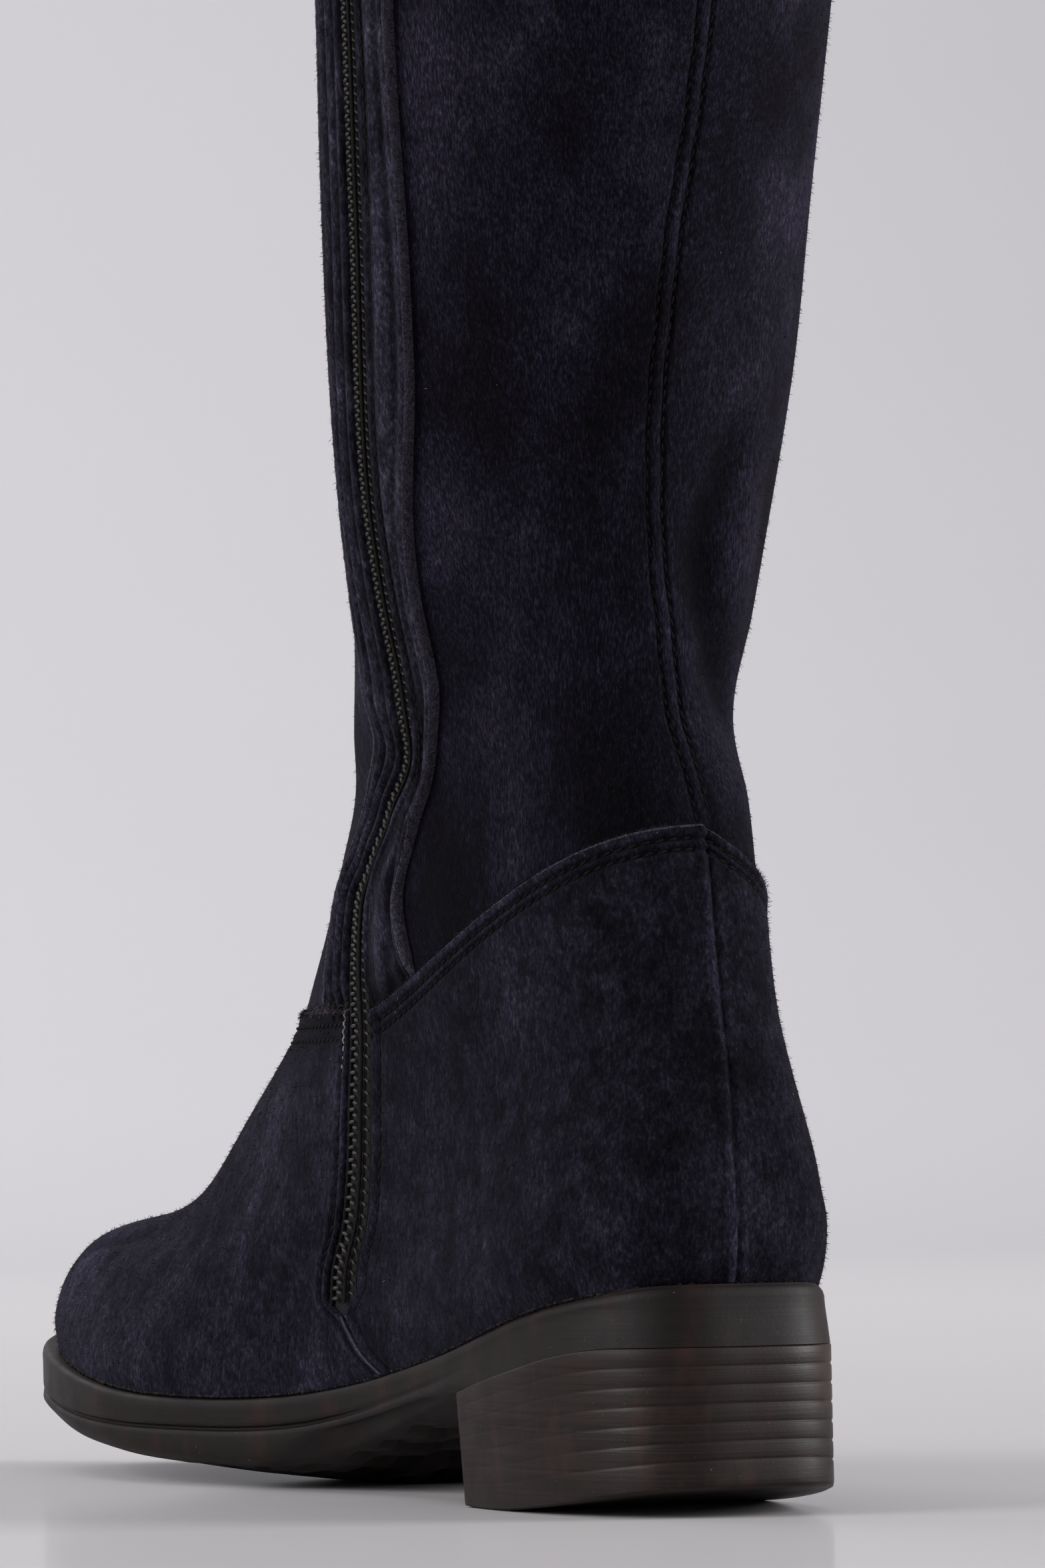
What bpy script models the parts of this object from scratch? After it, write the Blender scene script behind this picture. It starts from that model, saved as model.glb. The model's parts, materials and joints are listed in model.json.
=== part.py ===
"""Over-the-knee boot, right foot: sole unit, heel block, hollow upper, overlays and side zip.

Metres, +Z up, +Y towards the toe, -X the inner (medial) side. The row's origin is the
centre of the heel's flat underside. Working tables are in millimetres, measured from
the heel's back-most point along the foot, and are moved and scaled when a mesh is made.
"""
import bmesh
import bpy
import numpy as np
from mathutils import Matrix, Vector

MM = 0.001
HEEL_CENTRE = 54.0
COLLECTION = "over_knee_boot"

# Shell and leather.
WALL = 2.0
SHELL_INSET = 0.7
FIT_GAP = 0.3
FEATHER_GAP = 0.55
SUEDE = 1.2
RING_POINTS = 40
PLAN_SAMPLES = 181
EDGE_ROUNDS = 40

# Sole unit.
SOLE_BEAD = 1.0
SOLE_GROOVE = 0.9
SEAT_FLARE_BACK = 1.8
SEAT_FLARE_SIDE = 0.9
BALL_FLAT_EDGE = 3.0
BALL_RISE_RUN = 40.0
BALL_RISE = 5.0
SOLE_STATIONS = 37
SOLE_COLUMNS = 6
INSOLE_THICK = 3.0
INSOLE_GAP = 0.5
INSOLE_EDGE = 1.4
TREAD_RADIUS = 1.3
TREAD_WAVE = 2.6
TREAD_PITCH = 11.0
TREAD_FIRST = 98.0
TREAD_COUNT = 12
TREAD_RIM = 9.0
NOTCH_COUNT = 7
NOTCH_RADIUS = 0.7

# Heel block.
HEEL_BREAST_TOP = 62.6
HEEL_BREAST_FOOT = 60.0
HEEL_HOLLOW = 1.2
HEEL_FLARE = 1.3
HEEL_BEVEL_START = 46.0
HEEL_BEVEL_RISE = 5.6
HEEL_SIDE_TAPER = 0.6
HEEL_EDGE = 1.4
HEEL_LIFTS = 7
HEEL_LIFT_PITCH = 3.4
HEEL_LIFT_GROOVE = 0.5
HEEL_LIFT_HALF = 0.45
HEEL_STATIONS = 13
HEEL_FLAT_STATIONS = 3
HEEL_COLUMNS = 4

# Side zip.
CHAIN_HALF = 3.1
TAPE_HALF = 4.7
TAPE_THICK = 0.7
CHAIN_THICK = 1.5
FACING_START = 5.1
FACING_SPACE = 0.6
FRONT_FACING_WIDTH = 12.0
ZIP_FOOT = 55.0
ZIP_TOP = 531.0
SLIDER_LEVEL = 520.0
SLIDER_SIZE = (2.6, 8.4, 11.0)
EAR_THICK = 1.4
EAR_SPACE = 4.2
PIN_RADIUS = 0.8
EYE_RADIUS = 2.1
EYE_CLEARANCE = 0.35
PULL_LENGTH = 27.0
PULL_WIDTH = 6.4
PULL_THICK = 1.5

SECTION_COLUMNS = (
    "level", "back_y", "front_y", "front_z", "heel", "waist", "ball",
    "back_square", "front_square", "shift", "foot_line",
)
# One row per section: height at the back seam, back and front ends, height at the front,
# half widths at heel, waist and ball, squareness of the ends, sideways shift, and how
# much of the foot's own curve the section follows.
SECTIONS = (
    (42.0, 3.2, 258.0, 27.0, 32.4, 28.2, 43.8, 3.6, 2.15, 0.0, 1.00),
    (46.0, 1.8, 259.4, 33.0, 33.8, 29.2, 44.2, 3.5, 2.15, 0.0, 1.00),
    (50.0, 0.9, 257.0, 40.0, 34.6, 29.4, 42.6, 3.4, 2.15, 0.0, 0.95),
    (55.0, 0.3, 250.0, 46.5, 34.6, 29.2, 39.8, 3.3, 2.15, 0.0, 0.90),
    (60.0, 0.6, 239.5, 51.5, 33.6, 28.8, 37.0, 3.2, 2.15, 0.0, 0.80),
    (66.0, 1.2, 220.0, 58.0, 32.2, 28.4, 33.6, 3.1, 2.10, 0.0, 0.65),
    (73.0, 2.5, 202.5, 67.0, 30.2, 28.0, 30.8, 3.0, 2.10, 0.0, 0.50),
    (82.0, 4.4, 185.0, 79.0, 28.2, 27.6, 29.0, 2.8, 2.10, 0.0, 0.35),
    (92.0, 6.6, 168.8, 91.5, 27.4, 27.6, 28.0, 2.6, 2.00, -0.5, 0.20),
    (104.0, 8.9, 156.0, 104.5, 27.5, 28.6, 28.4, 2.5, 2.00, -1.0, 0.10),
    (118.0, 11.0, 145.5, 118.0, 28.4, 29.6, 29.0, 2.4, 2.00, -1.5, 0.00),
    (134.0, 14.5, 135.5, 134.0, 28.6, 29.8, 29.0, 2.3, 2.00, -1.5, 0.00),
    (150.0, 18.8, 128.0, 150.0, 29.6, 31.0, 30.4, 2.2, 2.00, -3.0, 0.00),
    (170.0, 20.8, 118.0, 170.0, 35.2, 36.2, 36.0, 2.1, 2.00, -2.2, 0.00),
    (190.0, 20.4, 111.5, 190.0, 40.0, 41.0, 40.6, 2.0, 2.00, -2.4, 0.00),
    (220.0, 16.6, 108.0, 220.0, 44.8, 45.6, 45.0, 2.0, 2.00, -2.7, 0.00),
    (250.0, 11.0, 107.5, 250.0, 47.0, 47.7, 47.2, 2.0, 2.00, -3.2, 0.00),
    (290.0, 2.5, 108.5, 290.0, 49.2, 49.8, 49.2, 2.0, 2.00, -3.2, 0.00),
    (345.0, -4.0, 109.5, 345.0, 52.5, 53.0, 52.5, 2.0, 2.00, -2.5, 0.00),
    (440.0, 2.0, 108.0, 445.0, 50.5, 51.0, 50.5, 2.0, 2.00, -2.0, 0.00),
    (535.0, -4.0, 119.0, 565.0, 58.0, 58.5, 58.0, 2.0, 2.00, -2.0, 0.00),
)
FEATHER_LEVEL = 42.0
COLLAR_LEVEL = 535.0
DRAPE_END = 110.0
# Levels of the shell's own rings, closer where the foot turns into the leg.
SHELL_LEVELS = (
    42.0, 46.0, 50.0, 55.0, 60.0, 66.0, 73.0, 82.0, 92.0, 104.0, 112.0, 120.0, 128.0,
    136.0, 144.0, 152.0, 162.0, 174.0, 188.0, 204.0, 222.0, 245.0, 272.0, 305.0, 345.0,
    390.0, 440.0, 485.0, 513.0, 535.0,
)

# Place along the foot and the side curve of the foot's own line there.
FOOT_STATIONS = (0.0, 0.10, 0.40, 0.70, 1.0)
FOOT_LINE = (0.0, 0.3, 3.3, 1.5, -8.0)

# Place along the sole, height of its top edge, of its underside, how far its lower edge
# is rolled up above the underside, and height of the groove in its side.
SOLE_PROFILE = (
    (-6.0, 43.2, 31.4, 0.0, 37.0),
    (3.0, 42.6, 31.3, 0.0, 37.0),
    (12.0, 41.1, 31.0, 0.0, 36.5),
    (25.0, 38.9, 29.3, 0.0, 34.5),
    (36.0, 36.6, 27.0, 0.1, 32.0),
    (50.0, 33.2, 24.2, 0.3, 28.6),
    (62.0, 30.4, 21.6, 0.6, 25.6),
    (92.0, 24.7, 14.5, 3.0, 19.6),
    (115.0, 20.9, 7.5, 5.0, 15.2),
    (130.0, 19.0, 2.2, 4.6, 13.0),
    (141.0, 18.2, 0.0, 4.2, 12.2),
    (168.0, 17.8, 0.0, 4.6, 11.8),
    (180.0, 18.2, 0.8, 4.6, 11.9),
    (190.0, 18.9, 1.8, 4.6, 12.2),
    (205.0, 20.6, 3.6, 4.4, 13.0),
    (225.0, 23.4, 6.8, 4.0, 15.0),
    (250.0, 27.2, 12.0, 3.4, 18.8),
    (272.0, 30.5, 17.5, 3.0, 22.8),
)
# Back, front, half widths at heel, waist and ball, squareness of the two ends, shift and
# foot line of the sole's outline.
SOLE_OUTLINE = (-0.4, 266.0, 33.2, 30.4, 46.6, 3.5, 2.15, 0.0, 1.0)

# Level and place round the girth of the zip's middle line, back seam 0, front 0.5.
ZIP_PATH = (
    (48.0, 0.228), (55.0, 0.233), (64.0, 0.247), (75.0, 0.266), (86.0, 0.277),
    (97.0, 0.296), (107.0, 0.313), (115.0, 0.322), (122.0, 0.320), (129.0, 0.310),
    (137.0, 0.275), (145.0, 0.245), (155.0, 0.236), (165.0, 0.240), (180.0, 0.252),
    (212.0, 0.244), (250.0, 0.250), (290.0, 0.258), (345.0, 0.256), (535.0, 0.252),
)
# Place round the girth and level of the heel quarter's top edge, inner side positive.
QUARTER_TOP = (
    (-0.300, 93.0), (-0.240, 96.0), (-0.175, 103.0), (-0.138, 107.5), (-0.102, 112.0),
    (-0.065, 117.5), (-0.025, 126.0), (0.0, 128.3), (0.022, 127.6), (0.048, 125.6),
    (0.075, 123.0), (0.102, 119.8), (0.138, 115.3), (0.175, 110.0), (0.217, 104.4),
    (0.240, 101.5), (0.270, 98.0), (0.300, 95.5),
)
# Level and place of the rear edge of the facing behind the zip.
FACING_EDGE = (
    (95.0, 0.235), (103.0, 0.242), (112.0, 0.252), (118.5, 0.257), (126.5, 0.248),
    (137.5, 0.222), (144.0, 0.206), (152.5, 0.196), (160.0, 0.197), (191.0, 0.195),
    (234.5, 0.193), (259.5, 0.200), (290.0, 0.207), (345.0, 0.207), (535.0, 0.203),
)
# Level and place of the seam between the heel quarter and the vamp, each side.
VAMP_SEAM = ((42.0, 0.196), (49.0, 0.215), (56.0, 0.236), (75.0, 0.266), (97.0, 0.300))
VAMP_TOP = 97.0


def curve(xs, ys, x):
    """Smooth curve through a short table, cubic with the table's own slopes."""
    xs = np.asarray(xs, float)
    ys = np.asarray(ys, float)
    step = np.diff(xs)
    rise = np.diff(ys) / step
    slope = np.empty(len(xs))
    slope[1:-1] = (rise[:-1] * step[1:] + rise[1:] * step[:-1]) / (xs[2:] - xs[:-2])
    slope[0] = rise[0]
    slope[-1] = rise[-1]
    x = np.clip(x, xs[0], xs[-1])
    at = np.clip(np.searchsorted(xs, x) - 1, 0, len(step) - 1)
    span = step[at]
    t = (x - xs[at]) / span
    start = (1 + 2 * t) * (1 - t) ** 2 * ys[at] + t * (1 - t) ** 2 * span * slope[at]
    end = t * t * (3 - 2 * t) * ys[at + 1] + t * t * (t - 1) * span * slope[at + 1]
    return start + end


def column(table, index):
    """One named column of a table as an array."""
    return np.array([row[index] for row in table])


def smooth(low, high, x):
    """0 below low, 1 above high, eased between."""
    t = np.clip((x - low) / (high - low), 0.0, 1.0)
    return t * t * (3 - 2 * t)


def sole_top(y):
    return curve(column(SOLE_PROFILE, 0), column(SOLE_PROFILE, 1), y)


def sole_bottom(y):
    """Height of the tread along the foot; under the ball it lies flat on the floor."""
    return np.maximum(curve(column(SOLE_PROFILE, 0), column(SOLE_PROFILE, 2), y), 0.0)


def sole_roll(y):
    return curve(column(SOLE_PROFILE, 0), column(SOLE_PROFILE, 3), y)


def sole_groove(y):
    return curve(column(SOLE_PROFILE, 0), column(SOLE_PROFILE, 4), y)


def half_outline(row, angle, inset=0.0):
    """Distance along the foot, half width and middle of an outline at an angle, back 0."""
    back, front, heel, waist, ball, back_square, front_square, shift, foot = row
    cosine = np.cos(angle)
    sine = np.sin(angle)
    ease = 0.5 - 0.5 * cosine
    square = back_square + (front_square - back_square) * ease * ease * (3 - 2 * ease)
    along = 0.5 * (1 - np.sign(cosine) * np.abs(cosine) ** (2 / square))
    width = curve(FOOT_STATIONS, (heel, heel, waist, ball, ball), along) - inset
    half = np.abs(sine) ** (2 / square) * width
    y = back + inset + (front - back - 2 * inset) * along
    middle = shift + foot * curve(FOOT_STATIONS, FOOT_LINE, along)
    return y, half, middle


def even_steps(line, count):
    """A line's points respaced evenly along its length."""
    steps = np.hypot(*np.diff(line[:, :2], axis=0).T)
    length = np.concatenate(([0.0], np.cumsum(steps)))
    wanted = np.linspace(0.0, length[-1], count)
    return np.column_stack([np.interp(wanted, length, line[:, k]) for k in range(3)])


def section_ring(level, count=RING_POINTS):
    """Ring of the upper's form at a level, from the back seam round the inner side."""
    levels = column(SECTIONS, 0)
    row = {name: curve(levels, column(SECTIONS, k), level)
           for k, name in enumerate(SECTION_COLUMNS)}
    outline = [row[name] for name in (
        "back_y", "front_y", "heel", "waist", "ball",
        "back_square", "front_square", "shift", "foot_line")]
    y, half, middle = half_outline(outline, np.linspace(0.0, np.pi, PLAN_SAMPLES))
    along = (y - row["back_y"]) / (row["front_y"] - row["back_y"])
    feather = SECTIONS[0]
    feather_along = (y - feather[1]) / (feather[2] - feather[1])
    line = row["level"] + (row["front_z"] - row["level"]) * along
    feather_line = feather[0] + (feather[3] - feather[0]) * feather_along
    fade = 1.0 - smooth(FEATHER_LEVEL, DRAPE_END, level)
    z = line + fade * (sole_top(y) + FEATHER_GAP - feather_line)
    inner = even_steps(np.column_stack((middle - half, y, z)), count // 2 + 1)
    outer = even_steps(np.column_stack((middle + half, y, z)), count // 2 + 1)
    return np.vstack((inner, outer[-2:0:-1]))


def ring_normals(grid):
    """Outward normals of a grid of rings, one row per level."""
    around = np.roll(grid, -1, axis=1) - np.roll(grid, 1, axis=1)
    upward = np.gradient(grid, axis=0)
    normal = np.cross(upward, around)
    return normal / np.linalg.norm(normal, axis=2, keepdims=True)


class Last:
    """The boot's outer form as a grid of rings, with points found by level and girth."""

    def __init__(self):
        self.levels = np.array(SHELL_LEVELS)
        self.grid = np.array([section_ring(level) for level in SHELL_LEVELS])
        self.normals = ring_normals(self.grid)

    def girth(self, level):
        """Length round the form at a level."""
        rings = np.roll(self.grid, -1, axis=1) - self.grid
        lengths = np.linalg.norm(rings, axis=2).sum(axis=1)
        return np.interp(level, self.levels, lengths)

    def point(self, level, place, lift):
        """Point on the shell's face at a level and place, moved out along the normal."""
        at = int(np.clip(np.searchsorted(self.levels, level) - 1, 0, len(self.levels) - 2))
        up = (level - self.levels[at]) / (self.levels[at + 1] - self.levels[at])
        round_at = (place % 1.0) * RING_POINTS
        first = int(round_at) % RING_POINTS
        across = round_at - int(round_at)
        second = (first + 1) % RING_POINTS
        found = []
        for values in (self.grid, self.normals):
            low = values[at, first] * (1 - across) + values[at, second] * across
            high = values[at + 1, first] * (1 - across) + values[at + 1, second] * across
            found.append(low * (1 - up) + high * up)
        return found[0] + (lift - SHELL_INSET) * found[1]


def make_material(name, colour, roughness, metallic=0.0):
    """Plain Principled material of one colour."""
    material = bpy.data.materials.new(name)
    material.use_nodes = True
    shader = material.node_tree.nodes["Principled BSDF"]
    shader.inputs["Base Color"].default_value = (*colour, 1.0)
    shader.inputs["Roughness"].default_value = roughness
    shader.inputs["Metallic"].default_value = metallic
    return material


def turn_outward(mesh):
    """Face every polygon of a closed mesh outwards."""
    work = bmesh.new()
    work.from_mesh(mesh)
    bmesh.ops.recalc_face_normals(work, faces=work.faces)
    work.to_mesh(mesh)
    work.free()
    mesh.update()


def make_object(name, points, faces, material, collection, sharp=False):
    """Mesh object from points in working millimetres, origin at the row's origin."""
    mesh = bpy.data.meshes.new(name)
    moved = [((p[0]) * MM, (p[1] - HEEL_CENTRE) * MM, p[2] * MM) for p in points]
    mesh.from_pydata(moved, [], faces)
    turn_outward(mesh)
    mesh.materials.append(material)
    for polygon in mesh.polygons:
        polygon.use_smooth = not sharp
    item = bpy.data.objects.new(name, mesh)
    collection.objects.link(item)
    return item


def band_faces(low, high, count):
    """Quads between two closed rings given by their first point numbers."""
    return [(low + k, low + (k + 1) % count, high + (k + 1) % count, high + k)
            for k in range(count)]


def shell_solid(last):
    """Points and faces of the hollow upper: outer skin, inner skin and the two rims."""
    outer = last.grid - SHELL_INSET * last.normals
    inner = last.grid - (SHELL_INSET + WALL) * last.normals
    outer[0, :, 2] = sole_top(outer[0, :, 1]) + FEATHER_GAP
    inner[0, :, 2] = sole_top(inner[0, :, 1]) + FEATHER_GAP
    inner[-1, :, 2] = outer[-1, :, 2]
    rows, count = outer.shape[:2]
    points = np.vstack((outer.reshape(-1, 3), inner.reshape(-1, 3)))
    faces = []
    for row in range(rows - 1):
        outer_low = row * count
        inner_low = (rows + row) * count
        faces += band_faces(outer_low + count, outer_low, count)
        faces += band_faces(inner_low, inner_low + count, count)
    faces += band_faces(0, rows * count, count)
    faces += band_faces((2 * rows - 1) * count, (rows - 1) * count, count)
    return points, faces


def thickened(low, high, faces):
    """Points and faces of a plate: a sheet of faces given twice, low and high."""
    top = len(low)
    edges = {}
    for face in faces:
        for k, start in enumerate(face):
            end = face[(k + 1) % len(face)]
            if (end, start) in edges:
                del edges[(end, start)]
            else:
                edges[(start, end)] = True
    closed = [tuple(reversed(face)) for face in faces]
    closed += [tuple(top + k for k in face) for face in faces]
    closed += [(start, end, top + end, top + start) for start, end in edges]
    return list(low) + list(high), closed


def between(value, low, high):
    """A value kept between two others."""
    return min(max(value, low), high)


def region_solid(last, left, right, foot, top, low, high):
    """Piece lying on the upper inside four edges, on the upper's own grid lines.

    left and right give the place of the side edges at a level, foot and top the
    level of the end edges at a place; low and high are the two faces' lifts.
    """
    first = min(left(level) for level in SHELL_LEVELS)
    final = max(right(level) for level in SHELL_LEVELS)
    lines = [k / RING_POINTS for k in range(int(np.floor(first * RING_POINTS)),
                                            int(np.ceil(final * RING_POINTS)) + 1)]
    numbers = {}
    places = []
    grid = []
    for row in SHELL_LEVELS:
        found = []
        for line in lines:
            level = row
            for _ in range(EDGE_ROUNDS):
                place = between(line, left(level), right(level))
                level = between(row, foot(place), top(place))
            key = (round(float(level), 1), round(float(place), 3))
            if key not in numbers:
                numbers[key] = len(places)
                places.append((float(level), float(place)))
            found.append(numbers[key])
        grid.append(found)
    faces = []
    for lower, upper in zip(grid[:-1], grid[1:]):
        for k in range(len(lines) - 1):
            corners = (lower[k], lower[k + 1], upper[k + 1], upper[k])
            face = tuple(dict.fromkeys(corners))
            if len(face) > 2:
                faces.append(face)
    sheets = []
    for lift in (low, high):
        sheet = []
        for level, place in places:
            point = last.point(level, place, lift)
            if level <= FEATHER_LEVEL:
                point[2] = sole_top(point[1]) + FEATHER_GAP
            sheet.append(point)
        sheets.append(sheet)
    return thickened(sheets[0], sheets[1], faces)


def zip_place(last, level, offset):
    """Place round the girth a distance in front of the zip's middle line."""
    middle = curve(column(ZIP_PATH, 0), column(ZIP_PATH, 1), level)
    return middle + offset / last.girth(level)


def seam_place(last, level, offset):
    """Place round the girth a distance in front of the quarter and vamp seam."""
    middle = curve(column(VAMP_SEAM, 0), column(VAMP_SEAM, 1), level)
    return middle + offset / last.girth(level)


def quarter_front(last, level):
    """Front edge of the heel quarter on the inner side: the seam, then the zip."""
    seam = seam_place(last, level, -FIT_GAP)
    along_zip = zip_place(last, level, -FACING_START)
    return seam + (along_zip - seam) * smooth(ZIP_FOOT - 8.0, ZIP_FOOT - 1.5, level)


def vamp_rear(last, level):
    """Rear edge of the vamp on the inner side: the seam, then the zip."""
    seam = seam_place(last, level, FIT_GAP)
    along_zip = zip_place(last, level, FACING_START)
    return seam + (along_zip - seam) * smooth(ZIP_FOOT - 8.0, ZIP_FOOT - 1.5, level)


def build_upper(last, material, collection):
    points, faces = shell_solid(last)
    return make_object("upper", points, faces, material, collection)


def quarter_top(place):
    """Level of the heel quarter's top edge."""
    return curve(column(QUARTER_TOP, 0), column(QUARTER_TOP, 1), place)


def build_quarter(last, material, collection):
    """Suede heel quarter, its top edge standing proud of the shaft."""
    points, faces = region_solid(
        last,
        lambda level: -seam_place(last, level, -FIT_GAP),
        lambda level: quarter_front(last, level),
        lambda place: FEATHER_LEVEL,
        quarter_top,
        FIT_GAP, FIT_GAP + SUEDE)
    return make_object("heel_quarter", points, faces, material, collection)


def build_vamp(last, material, collection):
    """Suede vamp over the toe and instep, its top edge standing proud of the shaft."""
    points, faces = region_solid(
        last,
        lambda level: vamp_rear(last, level),
        lambda level: 1.0 - seam_place(last, level, FIT_GAP),
        lambda place: FEATHER_LEVEL,
        lambda place: VAMP_TOP,
        FIT_GAP, FIT_GAP + SUEDE)
    return make_object("vamp", points, faces, material, collection)


def build_strip(name, last, edges, ends, lifts, material, collection):
    """Long piece beside or along the zip, its edges given as distances in front of it."""
    points, faces = region_solid(
        last,
        lambda level: zip_place(last, level, edges[0]),
        lambda level: zip_place(last, level, edges[1]),
        ends[0], ends[1], lifts[0], lifts[1])
    return make_object(name, points, faces, material, collection)


def facing_edge(level):
    """Place of the rear facing's free edge."""
    return curve(column(FACING_EDGE, 0), column(FACING_EDGE, 1), level)


def build_zip_sides(last, material, collection):
    """Suede facings that run up the shaft in front of the zip and behind it."""
    points, faces = region_solid(
        last,
        facing_edge,
        lambda level: zip_place(last, level, -FACING_START),
        lambda place: quarter_top(place) + FACING_SPACE,
        lambda place: COLLAR_LEVEL,
        FIT_GAP, FIT_GAP + SUEDE)
    make_object("zip_facing_rear", points, faces, material, collection)
    build_strip("zip_facing_front", last, (FACING_START, FACING_START + FRONT_FACING_WIDTH),
                (lambda place: VAMP_TOP + FACING_SPACE, lambda place: COLLAR_LEVEL),
                (FIT_GAP, FIT_GAP + SUEDE), material, collection)


def build_zip(last, material, collection):
    """Zip tape and the closed chain standing along its middle."""
    def foot(place):
        return ZIP_FOOT

    def head(place):
        return ZIP_TOP

    chain_low = FIT_GAP + TAPE_THICK + FIT_GAP
    build_strip("zip_tape", last, (-TAPE_HALF, TAPE_HALF), (foot, head),
                (FIT_GAP, FIT_GAP + TAPE_THICK), material, collection)
    build_strip("zip_chain", last, (-CHAIN_HALF, CHAIN_HALF), (foot, head),
                (chain_low, chain_low + CHAIN_THICK), material, collection)


def outline_grid(row, inset, stations, columns, last_angle=np.pi, first_angle=0.12):
    """Grid of plan points across an outline, stations along it and columns across it."""
    angles = np.linspace(first_angle, last_angle, stations)
    y, half, middle = half_outline(row, angles, inset)
    across = np.linspace(-1.0, 1.0, columns + 1)
    grid = np.zeros((stations, columns + 1, 2))
    grid[:, :, 0] = middle[:, None] + half[:, None] * across[None, :]
    grid[:, :, 1] = y[:, None]
    return grid


def grid_edge(stations, columns):
    """Order of the points round a grid's edge, turning the same way for every grid."""
    wide = columns + 1
    order = [place for place in range(wide)]
    order += [row * wide + columns for row in range(1, stations)]
    order += [(stations - 1) * wide + place for place in range(columns - 1, -1, -1)]
    order += [row * wide for row in range(stations - 2, 0, -1)]
    return order


def stacked_solid(grids):
    """Solid from equal grids stacked from the top down: caps at the ends, rings between."""
    stations, wide = grids[0].shape[:2]
    columns = wide - 1
    order = grid_edge(stations, columns)
    ring = len(order)
    points = [tuple(p) for p in grids[0].reshape(-1, 3)]
    foot = len(points)
    points += [tuple(p) for p in grids[-1].reshape(-1, 3)]
    faces = []
    for row in range(stations - 1):
        for place in range(columns):
            a = row * wide + place
            faces.append((a, a + 1, a + wide + 1, a + wide))
            faces.append((foot + a, foot + a + wide, foot + a + wide + 1, foot + a + 1))
    rings = [list(order)]
    for grid in grids[1:-1]:
        flat = grid.reshape(-1, 3)
        rings.append(list(range(len(points), len(points) + ring)))
        points += [tuple(flat[k]) for k in order]
    rings.append([foot + k for k in order])
    for upper, lower in zip(rings[:-1], rings[1:]):
        for k in range(ring):
            after = (k + 1) % ring
            faces.append((upper[after], upper[k], lower[k], lower[after]))
    return points, faces


def with_height(grid, height):
    """Plan grid lifted to heights given by a function of the place along the foot."""
    return np.dstack((grid, height(grid[:, :, 1])))


def flared_row(flare):
    """Outline row of the sole, let out round the heel seat by a share of its flare."""
    row = list(SOLE_OUTLINE)
    row[0] -= SEAT_FLARE_BACK * flare
    row[2] += SEAT_FLARE_SIDE * flare
    return row


def sole_under(x, y):
    """Height of the underside: the tread is flat, and rises towards the inner edge."""
    side = np.clip((BALL_FLAT_EDGE - x) / BALL_RISE_RUN, 0.0, 1.0)
    return sole_bottom(y) + BALL_RISE * side ** 1.5 * smooth(105.0, 140.0, y)


def sole_grids():
    """Grids of the sole from its top edge down the grooved side to the tread."""
    def plan(inset, flare):
        return outline_grid(flared_row(flare), inset, SOLE_STATIONS, SOLE_COLUMNS,
                            np.pi - 0.10)

    def lowered(inset, flare, share, drop):
        grid = plan(inset, flare)
        y = grid[:, :, 1]
        under = sole_under(grid[:, :, 0], y)
        edge = sole_bottom(y) + sole_roll(y) + drop
        return np.dstack((grid, under + np.maximum(edge - under, 0.0) * share))

    def groove_share(y):
        return smooth(92.0, 125.0, y)

    grids = [
        with_height(plan(SOLE_BEAD, 0.0), sole_top),
        with_height(plan(0.2, 0.1), lambda y: sole_top(y) - 0.5),
        with_height(plan(0.0, 0.3), lambda y: sole_top(y) - 1.6),
        with_height(plan(0.3, 0.8), lambda y: sole_groove(y) + 1.0),
        with_height(plan(0.5, 0.85), sole_groove),
        with_height(plan(0.3, 0.9), lambda y: sole_groove(y) - 1.0),
        lowered(0.8, 1.0, 1.0, 2.4),
        lowered(2.2, 1.0, 0.45, 2.4),
        lowered(5.5, 1.0, 0.0, 2.4),
    ]
    grids[4] = groove_pushed(grids[4], groove_share)
    return grids


def groove_pushed(groove, share):
    """Groove ring drawn in towards the sole's middle line by its depth along the foot."""
    pushed = groove.copy()
    middle = groove[:, :, 0].mean(axis=1, keepdims=True)
    side = np.sign(groove[:, :, 0] - middle)
    pushed[:, :, 0] = groove[:, :, 0] - side * SOLE_GROOVE * share(groove[:, :, 1])
    return pushed


def tube_mesh(name, line, radius):
    """Closed round rod along a line, used only as a cutter."""
    data = bpy.data.curves.new(name, "CURVE")
    data.dimensions = "3D"
    data.bevel_depth = radius * MM
    data.bevel_resolution = 1
    data.use_fill_caps = True
    spline = data.splines.new("POLY")
    spline.points.add(len(line) - 1)
    for k, (x, y, z) in enumerate(line):
        spline.points[k].co = (x * MM, (y - HEEL_CENTRE) * MM, z * MM, 1.0)
    holder = bpy.data.objects.new(name, data)
    bpy.context.scene.collection.objects.link(holder)
    bpy.context.view_layer.update()
    mesh = bpy.data.meshes.new_from_object(holder)
    bpy.data.objects.remove(holder)
    return mesh


def make_cutter(name, meshes, collection):
    """One hidden object that joins every cutter rod."""
    points = []
    faces = []
    for mesh in meshes:
        start = len(points)
        points += [tuple(v.co) for v in mesh.vertices]
        faces += [tuple(start + k for k in polygon.vertices) for polygon in mesh.polygons]
    joined = bpy.data.meshes.new(name)
    joined.from_pydata(points, [], faces)
    joined.update()
    cutter = bpy.data.objects.new(name, joined)
    cutter.hide_render = True
    cutter.display_type = "WIRE"
    collection.objects.link(cutter)
    return cutter


def cut(item, cutter):
    """Exact difference."""
    modifier = item.modifiers.new("cut_" + cutter.name, "BOOLEAN")
    modifier.operation = "DIFFERENCE"
    modifier.solver = "EXACT"
    modifier.object = cutter


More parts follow.
